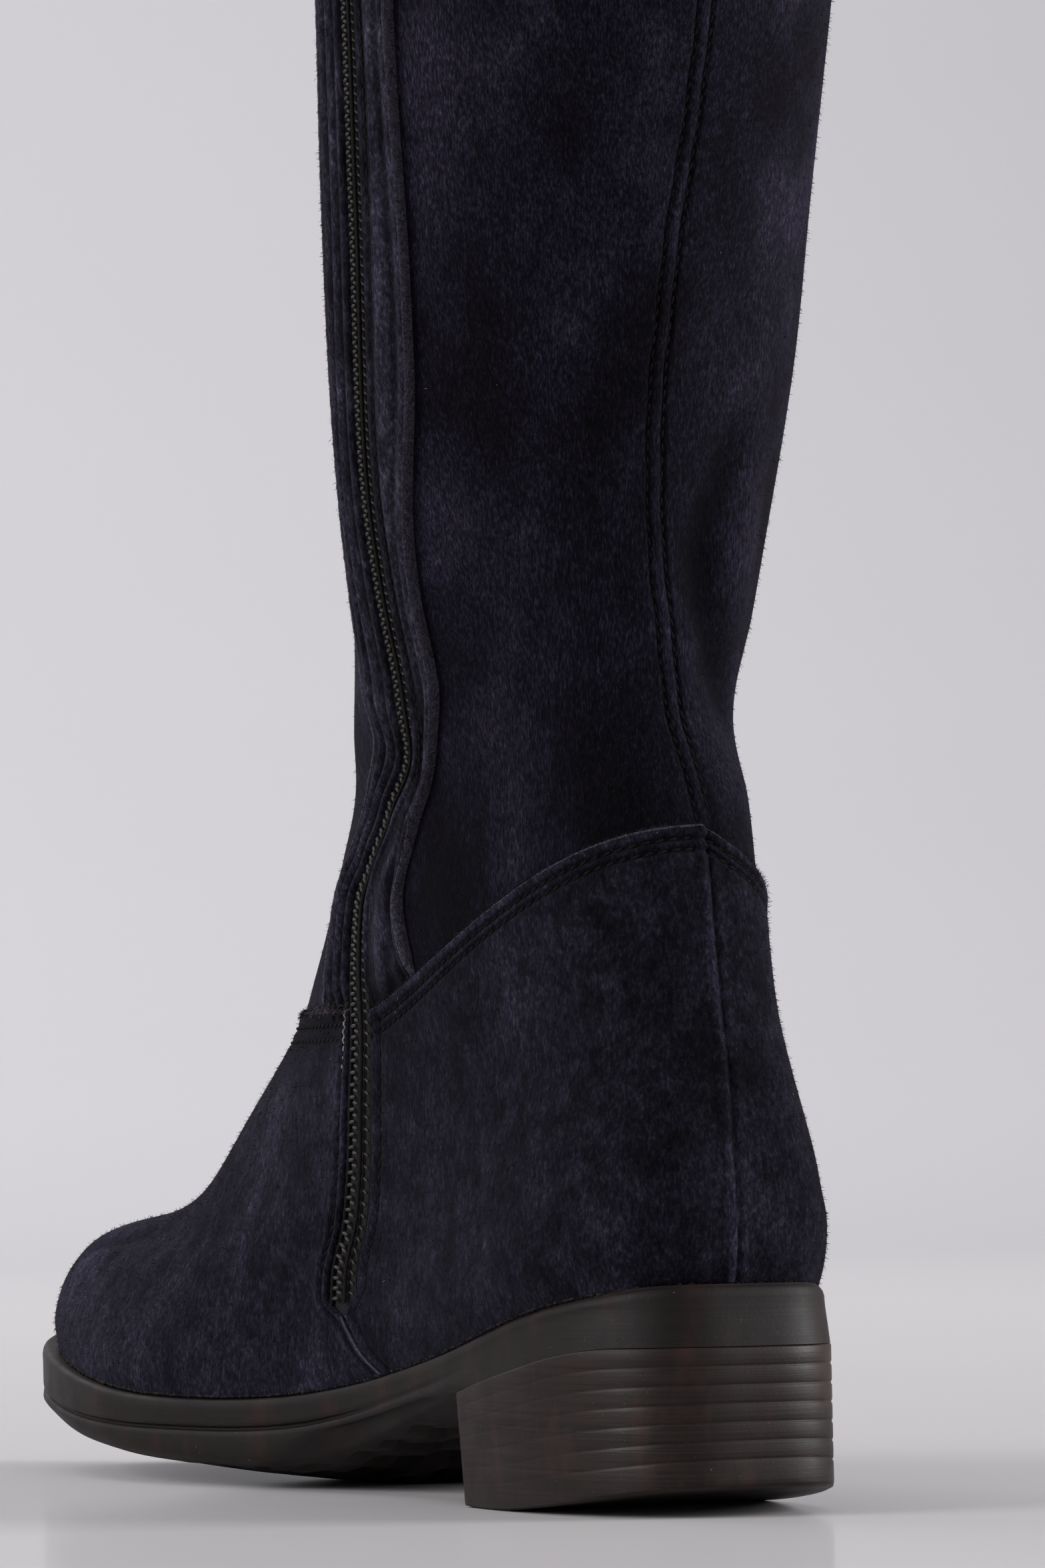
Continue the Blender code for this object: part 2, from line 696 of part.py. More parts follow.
def tread_lines():
    """Wavy channels across the tread, from the waist to the toe."""
    lines = []
    for channel in range(TREAD_COUNT):
        y_mid = TREAD_FIRST + TREAD_PITCH * channel
        grid = outline_grid(SOLE_OUTLINE, TREAD_RIM, 61, 1, np.pi - 0.10)
        left = np.interp(y_mid, grid[:, 0, 1], grid[:, 0, 0])
        right = np.interp(y_mid, grid[:, 1, 1], grid[:, 1, 0])
        if right - left < 14.0:
            continue
        xs = np.linspace(left, right, 13)
        line = []
        for x in xs:
            y = y_mid + TREAD_WAVE * np.sin((x - left) / 18.0 * 2 * np.pi)
            line.append((x, y, float(sole_under(x, y)) - 0.1))
        lines.append(line)
    return lines


def notch_lines():
    """Short notches across the lower edge of the toe, inner side."""
    lines = []
    angles = np.linspace(2.30, 2.80, NOTCH_COUNT)
    for angle in angles:
        y, half, middle = half_outline(SOLE_OUTLINE, np.array([angle]), 3.2)
        x = float(middle[0] - half[0])
        y = float(y[0])
        z = float(sole_under(x, y)) + 0.8
        lines.append([(x - 5.0, y + 2.0, z + 1.2), (x + 4.0, y - 1.6, z - 1.8)])
    return lines


def build_outsole(material, collection, cutters):
    """Sole unit with a beaded top edge, side groove, rolled lower edge and tread."""
    points, faces = stacked_solid(sole_grids())
    sole = make_object("outsole", points, faces, material, collection)
    rods = [tube_mesh("tread_rod", line, TREAD_RADIUS) for line in tread_lines()]
    cut(sole, make_cutter("tread_cutter", rods, cutters))
    rods = [tube_mesh("notch_rod", line, NOTCH_RADIUS) for line in notch_lines()]
    cut(sole, make_cutter("notch_cutter", rods, cutters))
    return sole


def heel_foot(y):
    """Height of the heel's underside: flat, then a bevel rising to the back."""
    run = HEEL_BEVEL_START + SEAT_FLARE_BACK + HEEL_FLARE
    back = np.clip((HEEL_BEVEL_START - y) / run, 0.0, 1.0)
    return HEEL_BEVEL_RISE * back ** 1.3


def heel_level(share, inset):
    """Grid of the heel block at a share of its height, 0 at the ground and 1 at the seat."""
    row = flared_row(1.0)
    row[0] -= HEEL_FLARE * (1 - share)
    row[2] -= HEEL_SIDE_TAPER * (1 - share)
    row[3] = row[2]
    breast = HEEL_BREAST_FOOT + (HEEL_BREAST_TOP - HEEL_BREAST_FOOT) * share
    angles = np.linspace(0.12, np.pi, 400)
    y, half, middle = half_outline(row, angles, inset)
    back = np.linspace(0.0, 1.0, HEEL_STATIONS - HEEL_FLAT_STATIONS + 1) ** 1.6
    along = np.concatenate((y[0] + (HEEL_BEVEL_START - y[0]) * back, np.linspace(
        HEEL_BEVEL_START, breast - inset, HEEL_FLAT_STATIONS)[1:]))
    t = (along - along[0]) / (along[-1] - along[0])
    wide = np.interp(along, y, half)
    centre = np.interp(along, y, middle)
    across = np.linspace(-1.0, 1.0, HEEL_COLUMNS + 1)
    grid = np.zeros((HEEL_STATIONS, HEEL_COLUMNS + 1, 3))
    grid[:, :, 0] = centre[:, None] + wide[:, None] * across[None, :]
    hollow = HEEL_HOLLOW * (1 - across ** 2)
    grid[:, :, 1] = along[:, None] - hollow[None, :] * t[:, None] ** 8
    top = sole_bottom(grid[:, :, 1]) - FIT_GAP
    low = heel_foot(grid[:, :, 1])
    grid[:, :, 2] = low + (top - low) * share
    return grid


def build_heel(material, collection):
    """Stacked-look heel block with grooves round it."""
    height = float(sole_bottom(0.0) - FIT_GAP) - HEEL_BEVEL_RISE
    levels = [(1.0, 0.0)]
    for lift in range(1, HEEL_LIFTS):
        share = 1.0 - HEEL_LIFT_PITCH * lift / height
        edge = HEEL_LIFT_HALF / height
        levels += [(share + edge, 0.0), (share, HEEL_LIFT_GROOVE), (share - edge, 0.0)]
    levels += [(HEEL_EDGE / height, 0.0), (0.3 * HEEL_EDGE / height, 0.3 * HEEL_EDGE)]
    levels += [(0.0, HEEL_EDGE)]
    grids = [heel_level(share, inset) for share, inset in levels]
    points, faces = stacked_solid(grids)
    return make_object("heel", points, faces, material, collection)


def build_insole(material, collection):
    """Sock lining board lying on the sole inside the upper."""
    row = list(SECTIONS[0][1:3]) + list(SECTIONS[0][4:])
    inset = SHELL_INSET + WALL + INSOLE_EDGE
    plan = outline_grid(row, inset, SOLE_STATIONS, 4, np.pi - 0.12, 0.14)
    grids = [
        with_height(plan, lambda y: sole_top(y) + INSOLE_GAP + INSOLE_THICK),
        with_height(plan, lambda y: sole_top(y) + INSOLE_GAP),
    ]
    points, faces = stacked_solid(grids)
    return make_object("insole", points, faces, material, collection)


def slider_frame(last):
    """Place and frame of the slider: X out of the shaft, Y towards the heel, Z up the zip."""
    place = zip_place(last, SLIDER_LEVEL, 0.0)
    lift = 3 * FIT_GAP + TAPE_THICK + CHAIN_THICK + 0.1
    here = last.point(SLIDER_LEVEL, place, lift)
    above = last.point(SLIDER_LEVEL + 4.0, zip_place(last, SLIDER_LEVEL + 4.0, 0.0), lift)
    rise = Vector(above - here)
    upward = Vector((rise.x, 0.0, rise.z)).normalized()
    along = Vector((0.0, -1.0, 0.0))
    outward = along.cross(upward).normalized()
    origin = Vector(((here[0]) * MM, (here[1] - HEEL_CENTRE) * MM, here[2] * MM))
    turn = Matrix((outward, along, upward)).transposed()
    return origin, turn


def box_mesh(centre, size):
    """Points and faces of a box in millimetres."""
    points = []
    for x in (-0.5, 0.5):
        for y in (-0.5, 0.5):
            for z in (-0.5, 0.5):
                points.append((centre[0] + x * size[0], centre[1] + y * size[1],
                               centre[2] + z * size[2]))
    faces = [(0, 1, 3, 2), (4, 6, 7, 5), (0, 4, 5, 1), (2, 3, 7, 6), (0, 2, 6, 4), (1, 5, 7, 3)]
    return points, faces


def rod_mesh(centre, radius, length, sides=16):
    """Points and faces of a rod lying along Y, in millimetres."""
    points = []
    for end in (-0.5, 0.5):
        for k in range(sides):
            angle = 2 * np.pi * k / sides
            points.append((centre[0] + radius * np.cos(angle), centre[1] + end * length,
                           centre[2] + radius * np.sin(angle)))
    faces = [tuple(range(sides)), tuple(range(2 * sides - 1, sides - 1, -1))]
    for k in range(sides):
        after = (k + 1) % sides
        faces.append((k, sides + k, sides + after, after))
    return points, faces


def local_object(name, parts, material, collection, hidden=False):
    """Object whose mesh is in its own frame, from separate closed pieces."""
    points = []
    faces = []
    for piece_points, piece_faces in parts:
        start = len(points)
        points += [tuple(c * MM for c in p) for p in piece_points]
        faces += [tuple(start + k for k in face) for face in piece_faces]
    mesh = bpy.data.meshes.new(name)
    mesh.from_pydata(points, [], faces)
    turn_outward(mesh)
    item = bpy.data.objects.new(name, mesh)
    collection.objects.link(item)
    if material is not None:
        mesh.materials.append(material)
    if hidden:
        item.hide_render = True
        item.display_type = "WIRE"
    return item


def combine(item, other, operation):
    """Exact Boolean between two objects."""
    modifier = item.modifiers.new(other.name, "BOOLEAN")
    modifier.operation = operation
    modifier.solver = "EXACT"
    modifier.object = other


def pin_offset():
    """Distance of the pull's pin out from the slider's underside."""
    return SLIDER_SIZE[0] + EYE_RADIUS + FIT_GAP


def build_slider(last, material, collection, cutters):
    """Zip slider body with two ears and the pin that carries the pull."""
    origin, turn = slider_frame(last)
    thick, wide, tall = SLIDER_SIZE
    pin = pin_offset()
    ear = (EAR_SPACE + EAR_THICK) / 2
    pin_z = tall * 0.28
    body = local_object("zip_slider", [box_mesh((thick / 2, 0, 0), SLIDER_SIZE)], material,
                        collection)
    ears = []
    for side in (-1, 1):
        ears.append(box_mesh((thick + (pin - thick) / 2 - 0.2, side * ear, pin_z),
                             (pin - thick + 0.4, EAR_THICK, 2 * EYE_RADIUS)))
    post = local_object("ears", ears, None, cutters, hidden=True)
    ends = []
    for side in (-1, 1):
        ends.append(rod_mesh((pin, side * ear, pin_z), EYE_RADIUS, EAR_THICK))
    round_ends = local_object("ear_ends", ends, None, cutters, hidden=True)
    rod = local_object("pin_rod", [rod_mesh((pin, 0, pin_z), PIN_RADIUS,
                                            EAR_SPACE + 2 * EAR_THICK - 0.4)],
                       None, cutters, hidden=True)
    for item in (body, post, round_ends, rod):
        item.matrix_world = Matrix.Translation(origin) @ turn.to_4x4()
    combine(body, post, "UNION")
    combine(body, round_ends, "UNION")
    combine(body, rod, "UNION")
    return body


def build_pull(last, material, collection, cutters):
    """Pull tab hanging straight down from the slider's pin, its origin on the pin's axis."""
    origin, turn = slider_frame(last)
    pin = Vector((pin_offset() * MM, 0.0, SLIDER_SIZE[2] * 0.28 * MM))
    wide = EAR_SPACE - 2 * EYE_CLEARANCE
    neck = EYE_RADIUS + 3.4
    blade = PULL_LENGTH - neck
    eye = local_object("zip_pull", [rod_mesh((0, 0, 0), EYE_RADIUS, wide)], material, collection)
    shank = local_object("pull_shank", [box_mesh((0, 0, -neck / 2), (PULL_THICK, wide, neck))],
                         None, cutters, hidden=True)
    plate = local_object("pull_plate", [box_mesh((0, 0, -neck - blade / 2 + 0.6),
                                                 (PULL_THICK, PULL_WIDTH, blade + 1.2))],
                         None, cutters, hidden=True)
    bore = local_object("pull_bore", [rod_mesh((0, 0, 0), PIN_RADIUS + EYE_CLEARANCE,
                                               wide + 2.0)], None, cutters, hidden=True)
    hanging = Matrix(((-1.0, 0.0, 0.0), (0.0, -1.0, 0.0), (0.0, 0.0, 1.0)))
    place = Matrix.Translation(origin + turn @ pin) @ hanging.to_4x4()
    for item in (eye, shank, plate, bore):
        item.matrix_world = place
    combine(eye, shank, "UNION")
    combine(eye, plate, "UNION")
    combine(eye, bore, "DIFFERENCE")
    return eye


def clear_scene():
    """Remove whatever a new file starts with."""
    for item in list(bpy.data.objects):
        bpy.data.objects.remove(item)


def main():
    clear_scene()
    boot = bpy.data.collections.new(COLLECTION)
    cutters = bpy.data.collections.new("cutters")
    bpy.context.scene.collection.children.link(boot)
    bpy.context.scene.collection.children.link(cutters)
    last = Last()
    stretch = make_material("stretch_microvelour", (0.010, 0.009, 0.013), 0.95)
    suede_vamp = make_material("suede_vamp", (0.012, 0.011, 0.017), 0.95)
    suede_heel = make_material("suede_quarter", (0.012, 0.010, 0.016), 0.95)
    suede_trim = make_material("suede_facing", (0.015, 0.014, 0.021), 0.95)
    sole_rubber = make_material("sole_rubber", (0.030, 0.025, 0.024), 0.55)
    heel_rubber = make_material("heel_rubber", (0.036, 0.030, 0.029), 0.50)
    board = make_material("insole_lining", (0.080, 0.065, 0.055), 0.90)
    tape = make_material("zip_nylon", (0.008, 0.008, 0.009), 0.70)
    metal = make_material("zip_metal", (0.100, 0.095, 0.090), 0.35, 1.0)
    build_outsole(sole_rubber, boot, cutters)
    build_heel(heel_rubber, boot)
    build_insole(board, boot)
    build_upper(last, stretch, boot)
    build_quarter(last, suede_heel, boot)
    build_vamp(last, suede_vamp, boot)
    build_zip_sides(last, suede_trim, boot)
    build_zip(last, tape, boot)
    build_slider(last, metal, boot, cutters)
    build_pull(last, metal, boot, cutters)


main()
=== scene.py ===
"""Looks of an over-the-knee boot, right foot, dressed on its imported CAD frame.

Working sizes are in millimetres, measured from the heel's back-most point along the foot,
and are turned to metres when a mesh is made. -X is the inner side, +Y the toe.
"""

from __future__ import annotations

import json
import logging
import math
from dataclasses import dataclass, field
from enum import Enum
from typing import Callable, Sequence

import bmesh
import bpy
import numpy as np
from mathutils import Matrix, Vector

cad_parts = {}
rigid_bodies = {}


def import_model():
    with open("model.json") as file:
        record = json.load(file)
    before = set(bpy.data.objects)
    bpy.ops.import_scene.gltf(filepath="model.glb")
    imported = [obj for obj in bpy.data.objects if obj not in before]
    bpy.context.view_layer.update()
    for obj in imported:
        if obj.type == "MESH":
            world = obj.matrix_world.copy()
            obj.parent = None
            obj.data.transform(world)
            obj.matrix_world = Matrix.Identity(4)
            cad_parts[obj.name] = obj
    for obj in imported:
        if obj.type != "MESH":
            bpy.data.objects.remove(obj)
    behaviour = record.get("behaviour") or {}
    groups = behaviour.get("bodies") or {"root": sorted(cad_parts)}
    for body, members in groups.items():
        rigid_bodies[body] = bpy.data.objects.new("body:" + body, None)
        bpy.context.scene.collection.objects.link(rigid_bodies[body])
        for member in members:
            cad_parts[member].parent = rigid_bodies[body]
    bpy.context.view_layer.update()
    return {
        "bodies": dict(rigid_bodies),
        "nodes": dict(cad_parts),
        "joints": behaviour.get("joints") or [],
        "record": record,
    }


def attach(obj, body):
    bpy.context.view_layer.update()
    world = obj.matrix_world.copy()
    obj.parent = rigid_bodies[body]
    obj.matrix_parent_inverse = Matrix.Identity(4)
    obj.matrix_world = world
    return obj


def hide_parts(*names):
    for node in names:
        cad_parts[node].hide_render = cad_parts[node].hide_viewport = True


LOG = logging.getLogger("boot")
MM = 0.001
# Attribute of stored relief heights, from which the leather materials paint shade in troughs and
# a highlight on ridges.
RELIEF_LIGHT = "relief_light"
HEEL_CENTRE = 54.0
FEATHER = 42.0
COLLAR = 535.0
DRAPE_END = 110.0
SHELL_INSET = 0.7
WALL = 2.0
FEATHER_GAP = 0.55
VAMP_TOP = 97.0
ZIP_FOOT = 55.0
ZIP_TOP = 531.0
COIL_EDGE = 3.2
SEAM_GAP = 0.3
TOP_STITCHES = (2.6, 4.7)
OUTLINE_POINTS = 481
Pair = tuple[float, float]
Triple = tuple[float, float, float]
Colour = tuple[float, float, float, float]
Tree = bpy.types.NodeTree
Socket = bpy.types.NodeSocket
Relief = Callable[[np.ndarray, np.ndarray], np.ndarray]
Edge = Callable[[np.ndarray], np.ndarray]

SECTION_NAMES = ("level", "back_y", "front_y", "front_z", "heel", "waist", "ball",
                 "back_square", "front_square", "shift", "foot_line")
SECTIONS = np.array((
    (42.0, 3.2, 258.0, 27.0, 32.4, 28.2, 43.8, 3.6, 2.15, 0.0, 1.00),
    (46.0, 1.8, 259.4, 33.0, 33.8, 29.2, 44.2, 3.5, 2.15, 0.0, 1.00),
    (50.0, 0.9, 257.0, 40.0, 34.6, 29.4, 42.6, 3.4, 2.15, 0.0, 0.95),
    (55.0, 0.3, 250.0, 46.5, 34.6, 29.2, 39.8, 3.3, 2.15, 0.0, 0.90),
    (60.0, 0.6, 239.5, 51.5, 33.6, 28.8, 37.0, 3.2, 2.15, 0.0, 0.80),
    (66.0, 1.2, 220.0, 58.0, 32.2, 28.4, 33.6, 3.1, 2.10, 0.0, 0.65),
    (73.0, 2.5, 202.5, 67.0, 30.2, 28.0, 30.8, 3.0, 2.10, 0.0, 0.50),
    (82.0, 4.4, 185.0, 79.0, 28.2, 27.6, 29.0, 2.8, 2.10, 0.0, 0.35),
    (92.0, 6.6, 168.8, 91.5, 27.4, 27.6, 28.0, 2.6, 2.00, -0.5, 0.20),
    (104.0, 8.9, 156.0, 104.5, 27.5, 28.6, 28.4, 2.5, 2.00, -1.0, 0.10),
    (118.0, 11.0, 145.5, 118.0, 28.4, 29.6, 29.0, 2.4, 2.00, -1.5, 0.00),
    (134.0, 14.5, 135.5, 134.0, 28.6, 29.8, 29.0, 2.3, 2.00, -1.5, 0.00),
    (150.0, 18.8, 128.0, 150.0, 29.6, 31.0, 30.4, 2.2, 2.00, -3.0, 0.00),
    (170.0, 20.8, 118.0, 170.0, 35.2, 36.2, 36.0, 2.1, 2.00, -2.2, 0.00),
    (190.0, 20.4, 111.5, 190.0, 40.0, 41.0, 40.6, 2.0, 2.00, -2.4, 0.00),
    (220.0, 16.6, 108.0, 220.0, 44.8, 45.6, 45.0, 2.0, 2.00, -2.7, 0.00),
    (250.0, 11.0, 107.5, 250.0, 47.0, 47.7, 47.2, 2.0, 2.00, -3.2, 0.00),
    (290.0, 2.5, 108.5, 290.0, 49.2, 49.8, 49.2, 2.0, 2.00, -3.2, 0.00),
    (345.0, -4.0, 109.5, 345.0, 52.5, 53.0, 52.5, 2.0, 2.00, -2.5, 0.00),
    (440.0, 2.0, 108.0, 445.0, 50.5, 51.0, 50.5, 2.0, 2.00, -2.0, 0.00),
    (535.0, -4.0, 119.0, 565.0, 58.0, 58.5, 58.0, 2.0, 2.00, -2.0, 0.00),
))
# Share of the foot's length, and the side curve of its own line there.
FOOT_STATIONS = (0.0, 0.10, 0.40, 0.70, 1.0)
FOOT_LINE = (0.0, 0.3, 3.3, 1.5, -8.0)
# Place along the foot, sole's top edge, underside, roll of the lower edge, side groove.
SOLE_PROFILE = np.array((
    (-6.0, 43.2, 31.4, 0.0, 37.0), (3.0, 42.6, 31.3, 0.0, 37.0),
    (12.0, 41.1, 31.0, 0.0, 36.5), (25.0, 38.9, 29.3, 0.0, 34.5),
    (36.0, 36.6, 27.0, 0.1, 32.0), (50.0, 33.2, 24.2, 0.3, 28.6),
    (62.0, 30.4, 21.6, 0.6, 25.6), (92.0, 24.7, 14.5, 3.0, 19.6),
    (115.0, 20.9, 7.5, 5.0, 15.2), (130.0, 19.0, 2.2, 4.6, 13.0),
    (141.0, 18.2, 0.0, 4.2, 12.2), (168.0, 17.8, 0.0, 4.6, 11.8),
    (180.0, 18.2, 0.8, 4.6, 11.9), (190.0, 18.9, 1.8, 4.6, 12.2),
    (205.0, 20.6, 3.6, 4.4, 13.0), (225.0, 23.4, 6.8, 4.0, 15.0),
    (250.0, 27.0, 9.9, 3.0, 18.0), (272.0, 30.0, 12.9, 2.7, 20.9),
))
# Back, front, half widths at heel, waist and ball, squareness of the two ends, shift and
# foot line of the sole's outline.
SOLE_OUTLINE = (-0.4, 266.0, 33.2, 30.4, 46.6, 3.5, 2.15, 0.0, 1.0)
# Eased steps of the seams' places round the girth: from one level to another, change.
ZIP_START = 0.218
ZIP_STEPS = ((38.0, 112.0, 0.093), (115.0, 150.0, -0.077), (150.0, 176.0, 0.013),
             (185.0, 235.0, -0.010), (236.0, 345.0, 0.018), (345.0, 535.0, -0.003))
FACING_EDGE_START = 0.228
FACING_EDGE_STEPS = ((92.0, 117.0, 0.025), (116.0, 157.0, -0.060), (155.0, 174.0, 0.010),
                     (176.0, 216.0, -0.015), (222.0, 300.0, 0.016))
BACK_SEAM_STEPS = ((42.0, 108.0, -0.005), (125.0, 196.0, 0.018), (205.0, 282.0, -0.015),
                   (282.0, 345.0, 0.002))
# The quarter and vamp seam rises in two straight runs, the lower one flatter.
VAMP_SEAM_START = 0.196
VAMP_SEAM_FOOT = 42.0
VAMP_SEAM_BEND = 56.0
VAMP_SEAM_SLOPES = (0.0029, 0.00156)
# The quarter's top edge: its peak at the back, and its fall and reach on each side.
QUARTER_PEAK = 128.3
QUARTER_INNER = (33.5, 0.33)
QUARTER_OUTER = (35.5, 0.31)
QUARTER_OUTER_POWER = 1.6
# The quarter's centre-back seam: level and place.
CENTRE_SEAM_LEVELS = (42.0, 65.0, 88.0, 108.0, 128.3)
CENTRE_SEAM_PLACES = (0.0015, 0.004, 0.002, -0.001, -0.003)
# Rough length round the boot at some levels, to measure creases by.
CREASE_LEVELS = (42.0, 60.0, 97.0, 134.0, 150.0, 200.0, 290.0, 535.0)
CREASE_GIRTHS = (612.0, 590.0, 420.0, 300.0, 270.0, 285.0, 325.0, 375.0)


def curve(table: Sequence, values: Sequence, x: np.ndarray) -> np.ndarray:
    """Smooth cubic curve through a short table.

    Args:
        table: rising places.
        values: a value for each place.
        x: where to read the curve.

    Returns:
        The curve's values at x.
    """
    xs = np.asarray(table, float)
    ys = np.asarray(values, float)
    step = np.diff(xs)
    rise = np.diff(ys) / step
    slope = np.empty(len(xs))
    slope[1:-1] = (rise[:-1] * step[1:] + rise[1:] * step[:-1]) / (xs[2:] - xs[:-2])
    slope[0] = rise[0]
    slope[-1] = rise[-1]
    x = np.clip(x, xs[0], xs[-1])
    at = np.clip(np.searchsorted(xs, x) - 1, 0, len(step) - 1)
    span = step[at]
    t = (x - xs[at]) / span
    start = (1 + 2 * t) * (1 - t) ** 2 * ys[at] + t * (1 - t) ** 2 * span * slope[at]
    return start + t * t * (3 - 2 * t) * ys[at + 1] + t * t * (t - 1) * span * slope[at + 1]


def smooth(low: float, high: float, x: np.ndarray) -> np.ndarray:
    """0 below low, 1 above high, eased between."""
    t = np.clip((x - low) / (high - low), 0.0, 1.0)
    return t * t * (3 - 2 * t)


def eased(start: float, steps: Sequence[Triple], x: np.ndarray) -> np.ndarray:
    """A start value with eased steps added.

    Args:
        start: the value before the first step.
        steps: where each step begins and ends, and its change.
        x: where to read the line.

    Returns:
        The line's values at x.
    """
    return start + sum(change * smooth(low, high, x) for low, high, change in steps)


def wrapped(place: float | np.ndarray) -> float | np.ndarray:
    """A place round the girth as a share between -0.5 and 0.5."""
    return (place + 0.5) % 1.0 - 0.5


def ridges(away: np.ndarray, *lines: Triple) -> np.ndarray:
    """Soft ridges (or troughs, where the height is negative) side by side.

    Args:
        away: each point's distance from a line, mm.
        lines: height, distance and half width of each ridge, mm.

    Returns:
        The height at each point.
    """
    return sum(height * np.exp(-((away - at) / half) ** 2) for height, at, half in lines)


def both_sides(around: int) -> tuple[np.ndarray, np.ndarray]:
    """Angles once round an outline, each as an angle round its own side.

    Args:
        around: number of steps round.

    Returns:
        Each point's angle from the back, and its side: -1 inner, 1 outer.
    """
    angle = 2 * np.pi * np.arange(around + 1) / around
    inner = angle <= np.pi
    return np.where(inner, angle, 2 * np.pi - angle), np.where(inner, -1.0, 1.0)


def travelled(*columns: np.ndarray) -> np.ndarray:
    """Distance along a line to each of its points, from the points' coordinates."""
    steps = np.sqrt(sum(np.diff(column) ** 2 for column in columns))
    return np.concatenate(([0.0], np.cumsum(steps)))


def sole_line(column: int, y: np.ndarray) -> np.ndarray:
    """One column of the sole's profile at places along the foot."""
    return curve(SOLE_PROFILE[:, 0], SOLE_PROFILE[:, column], y)


def half_outline(row: Sequence[float], angle: np.ndarray, inset: float = 0.0
                 ) -> tuple[np.ndarray, np.ndarray, np.ndarray]:
    """Outline of a section at an angle, 0 at the back and pi at the toe.

    Args:
        row: back, front, three half widths, two squarenesses, shift and foot line.
        angle: angles round one side.
        inset: how far the outline is drawn in.

    Returns:
        Place along the foot, half width and middle line.
    """
    back, front, heel, waist, ball, back_square, front_square, shift, foot = row
    cosine = np.cos(angle)
    ease = 0.5 - 0.5 * cosine
    square = back_square + (front_square - back_square) * ease * ease * (3 - 2 * ease)
    along = 0.5 * (1 - np.sign(cosine) * np.abs(cosine) ** (2 / square))
    width = curve(FOOT_STATIONS, (heel, heel, waist, ball, ball), along) - inset
    half = np.abs(np.sin(angle)) ** (2 / square) * width
    y = back + inset + (front - back - 2 * inset) * along
    return y, half, shift + foot * curve(FOOT_STATIONS, FOOT_LINE, along)


@dataclass(frozen=True)
class Crease:
    """A soft trough (positive depth) or ridge (negative) between two points of the skin."""

    start: Pair
    end: Pair
    half_width: float
    depth: float

    def drop(self, level: np.ndarray, place: np.ndarray) -> np.ndarray:
        """How far the skin is pressed in.

        Args:
            level: each point's height at the back seam.
            place: each point's share of the girth.

        Returns:
            Depths in millimetres, negative on a ridge.
        """
        girth = np.interp(0.5 * (self.start[0] + self.end[0]), CREASE_LEVELS, CREASE_GIRTHS)
        across = wrapped(place - self.start[1]) * girth
        up = level - self.start[0]
        run_across = wrapped(self.end[1] - self.start[1]) * girth
        run_up = self.end[0] - self.start[0]
        length = math.hypot(run_across, run_up)
        share = np.clip((across * run_across + up * run_up) / length ** 2, 0.0, 1.0)
        away = np.hypot(across - share * run_across, up - share * run_up)
        taper = np.sin(np.pi * (0.12 + 0.76 * share))
        return self.depth * taper * np.exp(-(away / self.half_width) ** 2)


CREASES: tuple[Crease, ...] = (
    # Soft fold on the outer side of the shaft above the ankle.
    Crease((208.0, 0.935), (184.0, 0.972), 5.5, 1.7),
    Crease((186.0, 0.974), (162.0, 0.972), 5.5, 1.9),
    Crease((166.0, 0.968), (146.0, 0.930), 6.0, 2.0),
    Crease((206.0, 0.915), (168.0, 0.944), 8.0, -1.9),
    Crease((176.0, 0.995), (152.0, 0.985), 6.0, -0.8),
    Crease((232.0, 0.930), (214.0, 0.985), 7.0, 0.9),
    Crease((222.0, 0.900), (204.0, 0.950), 7.0, -0.7),
    # Slack of the shaft on the instep bend, inner side.
    Crease((150.0, 0.330), (141.0, 0.215), 5.0, 0.9),
    Crease((158.0, 0.300), (150.0, 0.235), 4.5, -0.7),
    Crease((138.0, 0.300), (131.0, 0.225), 4.0, -0.6),
    Crease((128.0, 0.345), (119.0, 0.285), 4.5, 0.5),
    # Instep bend, over the front.
    Crease((142.0, 0.400), (139.0, 0.600), 6.0, 1.0),
    Crease((128.0, 0.410), (126.0, 0.590), 6.0, -0.7),
    # Fuller toe box, and the dip behind it.
    Crease((59.0, 0.440), (60.0, 0.560), 8.0, -2.4),
    Crease((55.0, 0.420), (51.0, 0.450), 6.0, -0.7),
    Crease((66.5, 0.425), (57.0, 0.452), 3.5, 0.8),
    Crease((69.5, 0.440), (70.0, 0.560), 4.5, 0.9),
    # Flex of the vamp over the ball.
    Crease((68.0, 0.395), (72.0, 0.470), 5.0, 0.7),
    Crease((72.0, 0.530), (68.0, 0.620), 5.0, 0.7),
    Crease((62.0, 0.380), (64.5, 0.480), 5.0, -0.4),
    Crease((60.5, 0.395), (62.0, 0.600), 4.0, 0.5),
    # Slack under the knee and behind it.
    Crease((398.0, 0.900), (404.0, 0.050), 9.0, 1.2),
    Crease((418.0, 0.940), (412.0, 0.110), 9.0, 1.0),
    Crease((330.0, 0.870), (300.0, 0.930), 12.0, 0.8),
    Crease((250.0, 0.100), (224.0, 0.060), 12.0, 0.6),
)


def pressed_in(level: np.ndarray, place: np.ndarray) -> np.ndarray:
    """How far all the creases together press the skin in."""
    return sum(crease.drop(level, place) for crease in CREASES)


